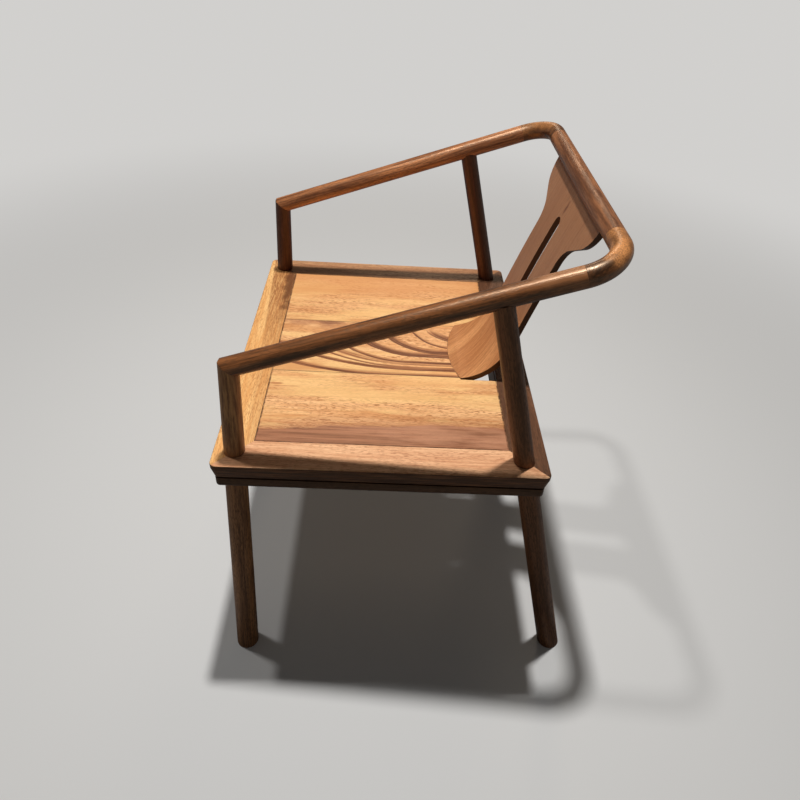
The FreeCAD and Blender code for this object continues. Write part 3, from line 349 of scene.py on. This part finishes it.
def speckled_inner_half(tree, place, colour):
    """The front rail's inner half is darker and full of pores, up to a line a little askew of its length."""
    line = add_node(tree, "ShaderNodeVectorMath", {0: place, 1: (HALVES_SLOPE, 1.0, 0.0)},
                    operation="DOT_PRODUCT")
    inner = soft_step(tree, line.outputs["Value"], HALVES_OUTER, HALVES_INNER)
    pores = soft_step(tree, noise(tree, place, *SPECKLE_PATTERN), *SPECKLE_TONE)
    across = add_node(tree, "ShaderNodeSeparateXYZ", {0: place}).outputs["X"]
    fading = soft_step(tree, across, *SPECKLES_THINNING)
    share = number(tree, "MULTIPLY", number(tree, "MULTIPLY", inner, pores), fading)
    # The front right post's painted shadow goes on top.
    colour = patched(tree, place, blend(tree, share, colour, SPECKLED_WALNUT), POST_SHADOW_PATCH)
    return shaded_dark_edge(tree, place, colour)


for node, direction, shift, tones, figure in (
        ("seat_front_rail", ACROSS_SEAT, (0.2, 0.10, 0.0), GOLDEN_WALNUT, speckled_inner_half),
        ("seat_back_rail", ACROSS_SEAT, (0.6, 0.25, 0.1), BROWN_WALNUT, shaded_dark_edge),
        ("seat_left_rail", BACK_ALONG_SEAT, (0.3, 0.43, 0.0), PINK_WALNUT, shaded_dark_edge),
        ("seat_right_rail", BACK_ALONG_SEAT, (0.9, 0.71, 0.2), FAR_RAIL_SHADED_WALNUT, shaded_dark_edge)):
    wood = walnut(node + "_walnut", direction, shift, tones, RAIL_BANDS, RAIL_PORES, RAIL_RUBBED, figure)
    ease_edges(node, wood, RAIL_EASING)


# The band. Four thinner rails of dark oiled walnut, mitred at the corners and screwed up under the seat
# frame, behind a groove.

BAND_WALNUT = ((0.110, 0.050, 0.024), (0.045, 0.020, 0.010), (0.014, 0.007, 0.004))

for node, direction, shift in (
        ("under_front_rail", ACROSS_SEAT, (0.1, 0.2, 0.0)),
        ("under_back_rail", ACROSS_SEAT, (0.5, 0.2, 0.3)),
        ("under_left_rail", BACK_ALONG_SEAT, (0.2, 0.5, 0.1)),
        ("under_right_rail", BACK_ALONG_SEAT, (0.7, 0.4, 0.2))):
    wood = walnut(node + "_walnut", direction, shift, BAND_WALNUT, POST_BANDS, RAIL_PORES, POST_RUBBED)
    ease_edges(node, wood, RAIL_EASING)


# What is hidden in the joints or under the seat: two battens tenoned into the side rails, keys across the
# frame's mitres, and dowels in the horseshoe's joints. All are of plain unoiled walnut, glued in.

PLAIN_WALNUT = ((0.420, 0.260, 0.150), (0.270, 0.155, 0.088), (0.110, 0.060, 0.034))

plain_walnut = walnut("inner_walnut", ACROSS_SEAT, (0, 0, 0), PLAIN_WALNUT, RAIL_BANDS, POST_PORES,
                      PLAIN_WALNUT[0])
for node in ("front_batten", "rear_batten", "seat_mitre_keys", "arm_mitre_dowels", "arm_bend_dowels",
             "rail_bend_dowels"):
    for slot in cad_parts[node].material_slots:
        slot.material = plain_walnut


# The screws, of zinc-plated steel. Some hold the band up to the seat frame, and some go through the rear
# batten into the splat's foot.

ZINC, DULL_ZINC = (0.62, 0.62, 0.60), (0.42, 0.42, 0.41)
ZINC_PATTERN = ((900.0, 900.0, 900.0), 3.0, 0.5)
ZINC_ROUGHNESS = (0.3, 0.7, 0.28, 0.45)

steel = bpy.data.materials.new("zinc_plated_steel")
steel.use_nodes = True
tree = steel.node_tree
shader = tree.nodes["Principled BSDF"]
shader.inputs["Metallic"].default_value = 1.0
place = tree.nodes.new("ShaderNodeTexCoord").outputs["Object"]
spots = noise(tree, place, *ZINC_PATTERN)
tree.links.new(blend(tree, spots, ZINC, DULL_ZINC), shader.inputs["Base Color"])
tree.links.new(soft_step(tree, spots, *ZINC_ROUGHNESS), shader.inputs["Roughness"])
for node in ("under_rail_screws", "splat_screws"):
    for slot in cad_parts[node].material_slots:
        slot.material = steel


# The seat boards. Three boards of figured walnut with their grain front to back, flush with the frame. The
# middle one shows growth rings, and the sitter's left one has an edge of darker heartwood.

BOARD_EASING = 0.0004
BOARD_BANDS = 0.045
BOARD_PORES = 1.0
BOARD_WALNUT = ((0.960, 0.560, 0.265), (0.660, 0.290, 0.105), (0.430, 0.160, 0.052))
GOLDEN_CLOUD = (0.960, 0.600, 0.240)
ORANGE_CLOUD = (0.700, 0.300, 0.105)
GOLD_CLOUDS, GOLD_CLOUD_TONE = ((24.0, 4.0, 1.0), 3.0, 0.6), (0.46, 0.62, 0.0, 0.60)
ORANGE_CLOUDS, ORANGE_CLOUD_TONE = ((34.0, 3.0, 1.7), 4.0, 0.65), (0.48, 0.64, 0.0, 0.55)
FAR_SIDE_WAVES, FAR_SIDE_WAVERING = ((40.0, 6.0, 1.0), 3.0, 0.5), (0.3, 0.7, -0.03, 0.03)
# Where across the seat the turn to orange towards the far side begins and ends, and its strength at each.
# This orange is partly the boards' own tone and partly painted shade.
ORANGE_SHADED_FAR_SIDE = (-0.110, -0.225, 0.0, 0.80)
RING_EDGE = (0.440, 0.175, 0.070)
RING_HEART = (0.150, 0.047, 0.020)
RED_STREAK = (0.420, 0.110, 0.035)
SEAM_DIRT = (0.080, 0.030, 0.014)
# How far from a seam its dirt is thick, where it ends, and how much it covers at each: round the panel, and
# between the boards.
FRAME_DIRT = (0.0013, 0.0032, 0.95, 0.0)
BOARD_DIRT = (0.0005, 0.0015, 0.60, 0.0)
DIRT_PATTERN, DIRT_TONE = ((120.0, 60.0, 1.0), 3.0, 0.6), (0.35, 0.60, 0.45, 1.0)
HEARTWOOD = (0.380, 0.155, 0.084)
HEARTWOOD_STREAK = (0.180, 0.066, 0.036)
PALE_HEARTWOOD = (0.640, 0.310, 0.180)
HEART_WAVES = ((30.0, 9.0, 1.0), 4.0, 0.6)
HEART_STREAKS, HEART_STREAK_TONE = ((260.0, 7.0, 1.0), 4.0, 0.65), (0.40, 0.66)
PALE_CLOUDS, PALE_CLOUD_TONE = ((40.0, 9.0, 1.0), 3.0, 0.6), (0.35, 0.62, 0.0, 0.60)
# The heartwood's edge is a bow across the board: where along the seat it is centred, its slope and its bend.
HEART_CENTRE_Y, HEART_SLOPE, HEART_BEND = -0.024, -0.045, 0.19
# How much that edge wavers. Where across the seat its pale stain and its dark line begin and end, and how
# much they cover there.
HEART_WAVERING = (0.3, 0.7, -0.005, 0.005)
HEART_STAIN = (0.172, 0.203, 0.0, 0.35)
HEART_LINE = (0.200, 0.207, 0.0, 0.55)
# Where along the seat the heartwood begins to be paler, and where it is palest.
PALER_BEGINS_Y, PALEST_Y = -0.16, 0.02
PANEL_HALF_WIDTH, PANEL_FRONT, PANEL_BACK, SEAM_X = 0.248, -0.235, 0.137, 0.077
PITH_X = -0.077
# The rings are a little wavy and made of fine lines, and each has a sharp outer side of this width.
RING_WAVE, RING_WAVES, RING_WAVE_DETAIL = 0.002, (60.0, 14.0, 1.0), 3.0
RING_LINES, RING_LINE_TONE = ((480.0, 9.0, 90.0), 3.0, 0.6), (0.38, 0.58, 0.62, 1.0)
RING_SHARPNESS = 0.001
# A ring is darkest at this share of its fade from its outer side.
RING_DARKEST = 0.1
# How dark a ring is where its edge colour and its heart colour begin to show, and where they are full.
RING_EDGE_TONE, RING_HEART_TONE = (0.10, 0.56), (0.35, 0.90)
# The distances from the pith between which the tips of the rings grow clear, and how dark they are at each.
# Towards the front they grow clear further from the pith.
RING_TIPS = (0.004, 0.040, 0.08, 1.0)
TIPS_FRONT_Y, TIPS_FRONT_SLOPE = -0.10, 0.35
# Each growth ring is half an ellipse that opens to the back: its half width, its length to the front, where
# along the seat it begins, how far its dark edge fades inwards, and how dark it is.
GROWTH_RINGS = (
    (0.1570, 0.321, -0.034, 0.0150, 0.90),
    (0.1395, 0.276, -0.001, 0.0110, 1.00),
    (0.1330, 0.210, -0.005, 0.0060, 0.80),
    (0.1250, 0.185, -0.011, 0.0210, 0.60),
    (0.1190, 0.142, -0.011, 0.0100, 1.00),
    (0.1013, 0.120, 0.008, 0.0220, 1.00),
    (0.0902, 0.106, 0.046, 0.0210, 1.00),
    (0.0746, 0.085, 0.078, 0.0100, 1.00),
    (0.0600, 0.090, 0.110, 0.0240, 1.00),
)
# Brown clouds in the middle board by its far seam, and short red streaks at the front of the nearest one:
# each is a centre, a reach, a colour and how much it covers.
EYE_PATCHES = (
    ((-0.080, -0.170, 0.44), (0.034, 0.085, 1.0), HEARTWOOD, 0.55),
    ((-0.074, -0.148, 0.44), (0.010, 0.034, 1.0), HEARTWOOD_STREAK, 0.60),
    ((-0.060, -0.180, 0.44), (0.007, 0.016, 1.0), BOARD_WALNUT[0], 0.55),
    ((0.062, -0.190, 0.44), (0.016, 0.060, 1.0), BOARD_WALNUT[1], 0.70),
)
RED_STREAKS = (
    ((0.112, -0.222, 0.44), (0.003, 0.020, 1.0), RED_STREAK, 0.70),
    ((0.118, -0.205, 0.44), (0.002, 0.026, 1.0), RED_STREAK, 0.60),
)


def make_growth_ring():
    """The dark late wood of one growth ring, sharp on its outside and fading inwards."""
    tree, given, out = new_group(
        "growth_ring",
        [("Vector", "NodeSocketVector"), ("Half width", "NodeSocketFloat"), ("Length", "NodeSocketFloat"),
         ("Start", "NodeSocketFloat"), ("Fade", "NodeSocketFloat"), ("Strength", "NodeSocketFloat")],
        [("Mask", "NodeSocketFloat")])
    place = add_node(tree, "ShaderNodeSeparateXYZ", {0: given["Vector"]}).outputs
    sideways = number(tree, "DIVIDE", number(tree, "SUBTRACT", place["X"], PITH_X), given["Half width"])
    forwards = number(tree, "MINIMUM", number(tree, "SUBTRACT", place["Y"], given["Start"]), 0.0)
    forwards = number(tree, "DIVIDE", forwards, given["Length"])
    squares = number(tree, "ADD", number(tree, "MULTIPLY", sideways, sideways),
                     number(tree, "MULTIPLY", forwards, forwards))
    reach = number(tree, "SQRT", squares)
    outside = number(tree, "MULTIPLY", number(tree, "SUBTRACT", reach, 1.0), given["Half width"])
    begins = number(tree, "MULTIPLY", given["Fade"], -1.0)
    fading = soft_step(tree, outside, begins, number(tree, "MULTIPLY", given["Fade"], -RING_DARKEST))
    dark = number(tree, "MULTIPLY", fading, soft_step(tree, outside, 0.0, RING_SHARPNESS, 1.0, 0.0))
    parts = {"X": outside, "Y": place["Y"], "Z": given["Length"]}
    along_ring = add_node(tree, "ShaderNodeCombineXYZ", parts).outputs[0]
    fine_lines = soft_step(tree, noise(tree, along_ring, *RING_LINES), *RING_LINE_TONE)
    dark = number(tree, "MULTIPLY", dark, fine_lines)
    towards_front = number(tree, "MINIMUM", number(tree, "SUBTRACT", place["Y"], TIPS_FRONT_Y), 0.0)
    from_pith = number(tree, "ADD", number(tree, "SUBTRACT", place["X"], PITH_X),
                       number(tree, "MULTIPLY", towards_front, TIPS_FRONT_SLOPE))
    dark = number(tree, "MULTIPLY", dark, soft_step(tree, from_pith, *RING_TIPS))
    tree.links.new(number(tree, "MULTIPLY", dark, given["Strength"]), out["Mask"])
    return tree


def make_board_clouds():
    """Golden and orange clouds on the boards, which turn orange, partly as painted shade, towards the far
    side.
    """
    tree, given, out = new_group(
        "board_clouds",
        [("Vector", "NodeSocketVector"), ("Color", "NodeSocketColor"), ("Gold", "NodeSocketColor"),
         ("Orange", "NodeSocketColor")],
        [("Color", "NodeSocketColor")])
    place = given["Vector"]
    across = add_node(tree, "ShaderNodeSeparateXYZ", {0: place}).outputs["X"]
    golden = soft_step(tree, noise(tree, place, *GOLD_CLOUDS), *GOLD_CLOUD_TONE)
    orange = soft_step(tree, noise(tree, place, *ORANGE_CLOUDS), *ORANGE_CLOUD_TONE)
    waves = soft_step(tree, noise(tree, place, *FAR_SIDE_WAVES), *FAR_SIDE_WAVERING)
    far_side = soft_step(tree, number(tree, "ADD", across, waves), *ORANGE_SHADED_FAR_SIDE)
    clouded = blend(tree, golden, given["Color"], given["Gold"])
    clouded = blend(tree, number(tree, "MAXIMUM", orange, far_side), clouded, given["Orange"])
    tree.links.new(clouded, out["Color"])
    return tree


def make_seam_dirt():
    """The dark line of oil and dust in the seams between the boards and round the panel."""
    tree, given, out = new_group(
        "seam_dirt",
        [("Vector", "NodeSocketVector"), ("Color", "NodeSocketColor"), ("Dirt", "NodeSocketColor")],
        [("Color", "NodeSocketColor")])
    place = given["Vector"]
    parts = add_node(tree, "ShaderNodeSeparateXYZ", {0: place}).outputs
    sideways = number(tree, "ABSOLUTE", parts["X"])
    to_seam = number(tree, "ABSOLUTE", number(tree, "SUBTRACT", sideways, SEAM_X))
    to_side = number(tree, "ABSOLUTE", number(tree, "SUBTRACT", sideways, PANEL_HALF_WIDTH))
    to_front = number(tree, "ABSOLUTE", number(tree, "SUBTRACT", parts["Y"], PANEL_FRONT))
    to_back = number(tree, "ABSOLUTE", number(tree, "SUBTRACT", parts["Y"], PANEL_BACK))
    to_frame = number(tree, "MINIMUM", to_side, number(tree, "MINIMUM", to_front, to_back))
    uneven = soft_step(tree, noise(tree, place, *DIRT_PATTERN), *DIRT_TONE)
    dirt = number(tree, "MAXIMUM", soft_step(tree, to_frame, *FRAME_DIRT),
                  soft_step(tree, to_seam, *BOARD_DIRT))
    dirty = blend(tree, number(tree, "MULTIPLY", dirt, uneven), given["Color"], given["Dirt"])
    tree.links.new(dirty, out["Color"])
    return tree


growth_ring = make_growth_ring()
board_clouds = make_board_clouds()
seam_dirt = make_seam_dirt()


def cloud(tree, place, colour):
    inputs = {"Vector": place, "Color": colour, "Gold": GOLDEN_CLOUD, "Orange": ORANGE_CLOUD}
    return add_node(tree, "ShaderNodeGroup", inputs, node_tree=board_clouds).outputs["Color"]


def dirty_seams(tree, place, colour):
    inputs = {"Vector": place, "Color": colour, "Dirt": SEAM_DIRT}
    return add_node(tree, "ShaderNodeGroup", inputs, node_tree=seam_dirt).outputs["Color"]


def plain_board(tree, place, colour):
    return dirty_seams(tree, place, cloud(tree, place, colour))


def growth_rings(tree, place, colour):
    """The rings, a little wavy, turn brown at their edge and dark in their heart."""
    stretched = vector(tree, "MULTIPLY", place, RING_WAVES)
    inputs = {"Vector": stretched, "Scale": 1.0, "Detail": RING_WAVE_DETAIL}
    ripple = add_node(tree, "ShaderNodeTexNoise", inputs).outputs["Color"]
    wavy = vector(tree, "ADD", place, vector(tree, "MULTIPLY", ripple, (2 * RING_WAVE, 2 * RING_WAVE, 0.0)))
    wavy = vector(tree, "ADD", wavy, (-RING_WAVE, -RING_WAVE, 0.0))
    dark = 0.0
    for half_width, length, start, fade, strength in GROWTH_RINGS:
        inputs = {"Vector": wavy, "Half width": half_width, "Length": length, "Start": start, "Fade": fade,
                  "Strength": strength}
        ring = add_node(tree, "ShaderNodeGroup", inputs, node_tree=growth_ring).outputs[0]
        dark = number(tree, "MAXIMUM", dark, ring)
    colour = patched(tree, place, cloud(tree, place, colour), EYE_PATCHES)
    colour = blend(tree, soft_step(tree, dark, *RING_EDGE_TONE), colour, RING_EDGE)
    colour = blend(tree, soft_step(tree, dark, *RING_HEART_TONE), colour, RING_HEART)
    return dirty_seams(tree, place, colour)


def heartwood_edge(tree, place, colour):
    """Darker, mauve heartwood beyond a soft wavy line near the board's outer edge."""
    parts = add_node(tree, "ShaderNodeSeparateXYZ", {0: place}).outputs
    along = number(tree, "SUBTRACT", parts["Y"], HEART_CENTRE_Y)
    bowed = number(tree, "MULTIPLY", number(tree, "MULTIPLY", along, along), HEART_BEND)
    edge = number(tree, "ADD", number(tree, "MULTIPLY", along, HEART_SLOPE), bowed)
    waves = soft_step(tree, noise(tree, place, *HEART_WAVES), *HEART_WAVERING)
    beyond = number(tree, "SUBTRACT", number(tree, "SUBTRACT", parts["X"], edge), waves)
    streaks = soft_step(tree, noise(tree, place, *HEART_STREAKS), *HEART_STREAK_TONE)
    heart = blend(tree, streaks, HEARTWOOD, HEARTWOOD_STREAK)
    paler = soft_step(tree, noise(tree, place, *PALE_CLOUDS), *PALE_CLOUD_TONE)
    paler = number(tree, "MULTIPLY", paler, soft_step(tree, parts["Y"], PALER_BEGINS_Y, PALEST_Y))
    heart = blend(tree, paler, heart, PALE_HEARTWOOD)
    colour = patched(tree, place, cloud(tree, place, colour), RED_STREAKS)
    share = number(tree, "ADD", soft_step(tree, beyond, *HEART_STAIN), soft_step(tree, beyond, *HEART_LINE))
    return dirty_seams(tree, place, blend(tree, share, colour, heart))


for node, shift, figure in (
        ("seat_board_right", (0.00, 0.30, 0.0), plain_board),
        ("seat_board_centre", (0.63, 0.00, 0.0), growth_rings),
        ("seat_board_left", (0.29, 0.12, 0.0), heartwood_edge)):
    wood = walnut(node + "_walnut", BACK_ALONG_SEAT, shift, BOARD_WALNUT, BOARD_BANDS, BOARD_PORES,
                  RAIL_RUBBED, figure)
    ease_edges(node, wood, BOARD_EASING)


# The back splat. One bent walnut board with two ears and a long slot, screwed to the rear batten and
# tenoned into the top rail. Its cut edges and the walls of its slot are painted dark, as shade.

SPLAT_EASING = 0.0012
SPLAT_BANDS = 0.055
SPLAT_PORES = 0.3
SPLAT_WALNUT = ((0.680, 0.310, 0.120), (0.440, 0.165, 0.056), (0.200, 0.070, 0.025))
# The upper part's darker colour is partly the wood's own tone and partly painted shade.
SHADED_UPPER_SPLAT = (0.270, 0.128, 0.068)
# The heights between which the splat takes on its upper part's colour, and how much of it at each.
UPPER_CHANGE = (0.47, 0.56, 0.0, 0.72)
# The slot's walls are painted dark with this shade.
SHADED_SLOT_WALNUT = (0.130, 0.045, 0.016)
# A cut edge nearer to the middle than the first is a wall of the slot, and one beyond the second a side.
SLOT_WALL_X, SIDE_X = 0.020, 0.030
# How far a face's normal points to the side, or to front or back, where a face ends and a cut edge begins.
CUT_BEGINS, CUT_FULL = 0.35, 0.6
# The level cut edges are dark from these heights up, which leaves out the edge of the foot.
LEVEL_CUT_BEGINS, LEVEL_CUT_FULL = 0.488, 0.500
SPLAT_MARK = (0.130, 0.040, 0.018)
# Two dark marks above the slot: each is a centre, a reach, a colour and how much it covers.
SPLAT_MARKS = (
    ((0.002, 0.188, 0.712), (0.004, 0.040, 0.016), SPLAT_MARK, 0.75),
    ((-0.010, 0.190, 0.722), (0.003, 0.040, 0.012), SPLAT_MARK, 0.55),
)
# How far the grain runs off to the side over the splat's sweep, before it follows the splat's length.
GRAIN_DRIFT = 0.100
# The bent front face: the middle of its sweep, its radius and how far it turns.
SWEEP_CENTRE_Y, SWEEP_CENTRE_Z, SWEEP_RADIUS = 0.063, 0.525, 0.085
SWEEP_TURN = math.radians(74.7)


def distance_up_splat(y, z):
    """How far along the splat's bent face a point is, from the start of its sweep."""
    turn = min(max(math.atan2(y - SWEEP_CENTRE_Y, SWEEP_CENTRE_Z - z), 0), SWEEP_TURN)
    join_y = SWEEP_CENTRE_Y + SWEEP_RADIUS * math.sin(SWEEP_TURN)
    join_z = SWEEP_CENTRE_Z - SWEEP_RADIUS * math.cos(SWEEP_TURN)
    beyond = (y - join_y) * math.cos(SWEEP_TURN) + (z - join_z) * math.sin(SWEEP_TURN)
    return min(y - SWEEP_CENTRE_Y, 0) + SWEEP_RADIUS * turn + max(beyond, 0)


def shaded_cut_edges(tree, place, colour):
    """The splat's sides, the edges of its ears and the walls of its slot are painted dark, as shade."""
    facing = tree.nodes.new("ShaderNodeNewGeometry").outputs["Normal"]
    facing = add_node(tree, "ShaderNodeSeparateXYZ", {0: facing}).outputs
    height = add_node(tree, "ShaderNodeSeparateXYZ", {0: place}).outputs["Z"]
    side = soft_step(tree, number(tree, "ABSOLUTE", facing["X"]), CUT_BEGINS, CUT_FULL)
    level = soft_step(tree, number(tree, "ABSOLUTE", facing["Y"]), CUT_BEGINS, CUT_FULL, 1.0, 0.0)
    level = number(tree, "MULTIPLY", level, soft_step(tree, height, LEVEL_CUT_BEGINS, LEVEL_CUT_FULL))
    colour = blend(tree, soft_step(tree, height, *UPPER_CHANGE), colour, SHADED_UPPER_SPLAT)
    colour = patched(tree, place, colour, SPLAT_MARKS)
    across = add_node(tree, "ShaderNodeSeparateXYZ", {0: place}).outputs["X"]
    outside_slot = soft_step(tree, number(tree, "ABSOLUTE", across), SLOT_WALL_X, SIDE_X)
    edge = blend(tree, outside_slot, SHADED_SLOT_WALNUT, SHADED_EDGE_WALNUT)
    return blend(tree, number(tree, "MAXIMUM", side, level), colour, edge)


wood = walnut("back_splat_walnut", ACROSS_SEAT, (0.2, 0.0, 0.0), SPLAT_WALNUT, SPLAT_BANDS, SPLAT_PORES,
              RAIL_RUBBED, shaded_cut_edges, "up_the_splat")
splat = ease_edges("back_splat", wood, SPLAT_EASING)
up_the_splat = splat.data.attributes.new("up_the_splat", "FLOAT_VECTOR", "POINT")
for vertex, value in zip(splat.data.vertices, up_the_splat.data):
    x, y, z = vertex.co
    up = distance_up_splat(y, z)
    value.vector = (up, x + GRAIN_DRIFT * math.tanh(up / GRAIN_DRIFT), 0)


# The arms. Two straight round rails of dark oiled walnut that rise from the front mitres to the bends. They
# are dowelled at both ends, and sit on the tenons of the back posts.

ARM_EASING = 0.0003
ARM_BANDS = 0.016
ARM_PORES = 0.5
ARM_WEAR = 0.15
ARM_SHINE = 0.95
ARM_SMOOTHEST = 0.29
ARM_WALNUT = ((0.310, 0.110, 0.035), (0.035, 0.011, 0.004), (0.012, 0.004, 0.002))
# The sitter's right arm has paler tones than the left, which are a painted highlight.
FAR_ARM_HIGHLIT_WALNUT = ((0.680, 0.265, 0.100), (0.175, 0.058, 0.022), (0.034, 0.012, 0.005))
ALONG_ARM = (0, 0.9416, 0.3367)
# The paler end of the sitter's left arm, partly its tone and partly a painted highlight: its centre, its
# reach, its colour and how much it covers.
PALE_HIGHLIT_END = ((0.250, 0.165, 0.742), (0.040, 0.075, 0.040), (0.380, 0.160, 0.065), 0.55)


def pale_highlit_end(tree, place, colour):
    """The sitter's left arm is paler where it meets its bend, partly its tone and partly a painted highlight.
    """
    return patched(tree, place, colour, (PALE_HIGHLIT_END,))


for node, shift, tones, figure in (
        ("left_arm", (0.0, 0.0, 0.0), ARM_WALNUT, pale_highlit_end),
        ("right_arm", (0.35, 0.1, 0.0), FAR_ARM_HIGHLIT_WALNUT, None)):
    wood = walnut(node + "_walnut", ALONG_ARM, shift, tones, ARM_BANDS, ARM_PORES, POST_RUBBED, figure,
                  wear=ARM_WEAR, shine=ARM_SHINE, smoothest=ARM_SMOOTHEST)
    ease_edges(node, wood, ARM_EASING)


# The bends. Two corners sawn from thicker walnut and rounded, so that the grain runs out across the curve,
# and dowelled between the arms and the top rail.

BEND_PORES = 0.3
BEND_GRAIN = Vector((0.7, 0.67, 0.24))
BEND_WALNUT = ((0.190, 0.070, 0.025), (0.032, 0.011, 0.004), (0.012, 0.004, 0.002))
GOLDEN_BEND_AND_HIGHLIGHT = (0.720, 0.300, 0.098)
OPEN_PORES, OPEN_PORE_TONE = ((540.0, 540.0, 540.0), 2.0, 0.5), (0.44, 0.60, 0.0, 0.50)
# Gold on the bends' tops, partly end grain and partly a painted highlight. Each patch is a centre, a reach,
# a colour and how much it covers.
BEND_GOLD_AND_HIGHLIGHT = (
    ((0.244, 0.218, 0.766), (0.044, 0.040, 0.024), GOLDEN_BEND_AND_HIGHLIGHT, 0.88),
    ((0.194, 0.222, 0.766), (0.032, 0.030, 0.024), GOLDEN_BEND_AND_HIGHLIGHT, 0.55),
    ((-0.240, 0.214, 0.762), (0.045, 0.040, 0.016), GOLDEN_BEND_AND_HIGHLIGHT, 0.45),
    ((-0.254, 0.178, 0.750), (0.030, 0.026, 0.024), GOLDEN_BEND_AND_HIGHLIGHT, 0.30),
)


def golden_top_and_highlight(tree, place, colour):
    """Gold on the top of a bend, part end grain and part painted highlight, broken up by the pores there."""
    pores = soft_step(tree, noise(tree, place, *OPEN_PORES), *OPEN_PORE_TONE)
    return blend(tree, pores, patched(tree, place, colour, BEND_GOLD_AND_HIGHLIGHT), colour)


for node, direction, shift in (
        ("left_bend", BEND_GRAIN * TO_OTHER_SIDE, (0.0, 0.0, 0.0)),
        ("right_bend", BEND_GRAIN, (0.45, 0.1, 0.0))):
    wood = walnut(node + "_walnut", direction, shift, BEND_WALNUT, ARM_BANDS, BEND_PORES, POST_RUBBED,
                  golden_top_and_highlight, wear=ARM_WEAR, shine=ARM_SHINE, smoothest=ARM_SMOOTHEST)
    ease_edges(node, wood, ARM_EASING)


# The top rail. One straight round rail of dark oiled walnut, dowelled between the bends, with the splat's
# tenon let into its underside.

TOP_RAIL_WALNUT = ((0.420, 0.165, 0.064), (0.110, 0.037, 0.015), (0.030, 0.011, 0.006))

wood = walnut("top_rail_walnut", ACROSS_SEAT, (0, 0.2, 0), TOP_RAIL_WALNUT, ARM_BANDS, BEND_PORES,
              POST_RUBBED, wear=ARM_WEAR, shine=ARM_SHINE)
ease_edges("top_rail", wood, ARM_EASING)


# The studio: a plain pale floor that fades into a pale backdrop, two ceiling lamps a little to the sitter's
# right, a broad dim lamp beyond the sitter's right arm, and soft light from all round.

FLOOR_COLOUR = (0.74, 0.73, 0.71)
FLOOR_BOUNCE = (0.22, 0.217, 0.213)
BACKDROP_COLOUR = (0.64, 0.63, 0.615)
ROOM_LIGHT = (0.065, 0.065, 0.065)
BACKDROP_GLOW = (0.35, 0.345, 0.34)
FLOOR_RADIUS = 40
FLOOR_SIDES = 96
FADE_BEGINS, FADE_ENDS = 0.8, 2.6
SEAT_MIDDLE = Vector((0, -0.05, 0.44))
WHITE, WARM_WHITE = (1.0, 1.0, 1.0), (1.0, 0.84, 0.66)
# Each lamp's name, its place, how far it is across, its watts and its colour.
LAMPS = (
    ("ceiling_lamp", (-0.20, -0.05, 3.0), 0.14, 56, WHITE),
    ("front_lamp", (-0.20, -0.72, 3.0), 0.14, 14, WHITE),
    ("side_lamp", (-2.70, 0.30, 2.1), 0.80, 7, WARM_WHITE),
)

disk = bmesh.new()
bmesh.ops.create_circle(disk, cap_ends=True, segments=FLOOR_SIDES, radius=FLOOR_RADIUS)
floor_mesh = bpy.data.meshes.new("floor")
disk.to_mesh(floor_mesh)
disk.free()
floor = bpy.data.objects.new("floor", floor_mesh)
bpy.context.scene.collection.objects.link(floor)
floor_paint = bpy.data.materials.new("floor_paint")
floor_paint.use_nodes = True
tree = floor_paint.node_tree
tree.nodes.clear()
seen = tree.nodes.new("ShaderNodeLightPath").outputs["Is Camera Ray"]
near_floor = add_node(tree, "ShaderNodeBsdfDiffuse", {"Color": blend(tree, seen, FLOOR_BOUNCE, FLOOR_COLOUR)})
far_floor = add_node(tree, "ShaderNodeEmission", {"Color": blend(tree, seen, BACKDROP_GLOW, BACKDROP_COLOUR),
                                                  "Strength": 1.0})
place = tree.nodes.new("ShaderNodeTexCoord").outputs["Object"]
distance = add_node(tree, "ShaderNodeVectorMath", {0: place}, operation="LENGTH").outputs["Value"]
faded = soft_step(tree, distance, FADE_BEGINS, FADE_ENDS)
both = add_node(tree, "ShaderNodeMixShader", {0: faded, 1: near_floor.outputs[0], 2: far_floor.outputs[0]})
add_node(tree, "ShaderNodeOutputMaterial", {"Surface": both.outputs[0]})
floor.data.materials.append(floor_paint)

world = bpy.data.worlds.new("studio")
bpy.context.scene.world = world
world.use_nodes = True
tree = world.node_tree
seen = tree.nodes.new("ShaderNodeLightPath").outputs["Is Camera Ray"]
tree.links.new(blend(tree, seen, ROOM_LIGHT, BACKDROP_COLOUR), tree.nodes["Background"].inputs["Color"])

for name, lamp_place, across, watts, colour in LAMPS:
    lamp_light = bpy.data.lights.new(name, "AREA")
    lamp_light.shape = "DISK"
    lamp_light.size = across
    lamp_light.energy = watts
    lamp_light.color = colour
    lamp = bpy.data.objects.new(name, lamp_light)
    lamp.location = lamp_place
    lamp.rotation_euler = (Vector(lamp_place) - SEAT_MIDDLE).to_track_quat("Z", "Y").to_euler()
    bpy.context.scene.collection.objects.link(lamp)


# The camera, high on the sitter's left and tilted a little, as the photograph was taken. Its lens and its
# place were fitted to the chair's own straight edges.

CAMERA_PLACE = (0.9324, -0.0602, 1.0957)
CAMERA_TURN, CAMERA_DIP, CAMERA_TILT = -0.0462, 0.6919, 0.0709
LENS = 29.25
SENSOR = 36.0

camera_data = bpy.data.cameras.new("camera")
camera_data.lens = LENS
camera_data.sensor_width = SENSOR
camera = bpy.data.objects.new("camera", camera_data)
bpy.context.scene.collection.objects.link(camera)
camera.matrix_world = (Matrix.Translation(CAMERA_PLACE)
                       @ Matrix.Rotation(math.pi / 2 + CAMERA_TURN, 4, "Z")
                       @ Matrix.Rotation(math.pi / 2 - CAMERA_DIP, 4, "X")
                       @ Matrix.Rotation(CAMERA_TILT, 4, "Z"))
bpy.context.scene.camera = camera
bpy.context.scene.view_settings.view_transform = "Standard"
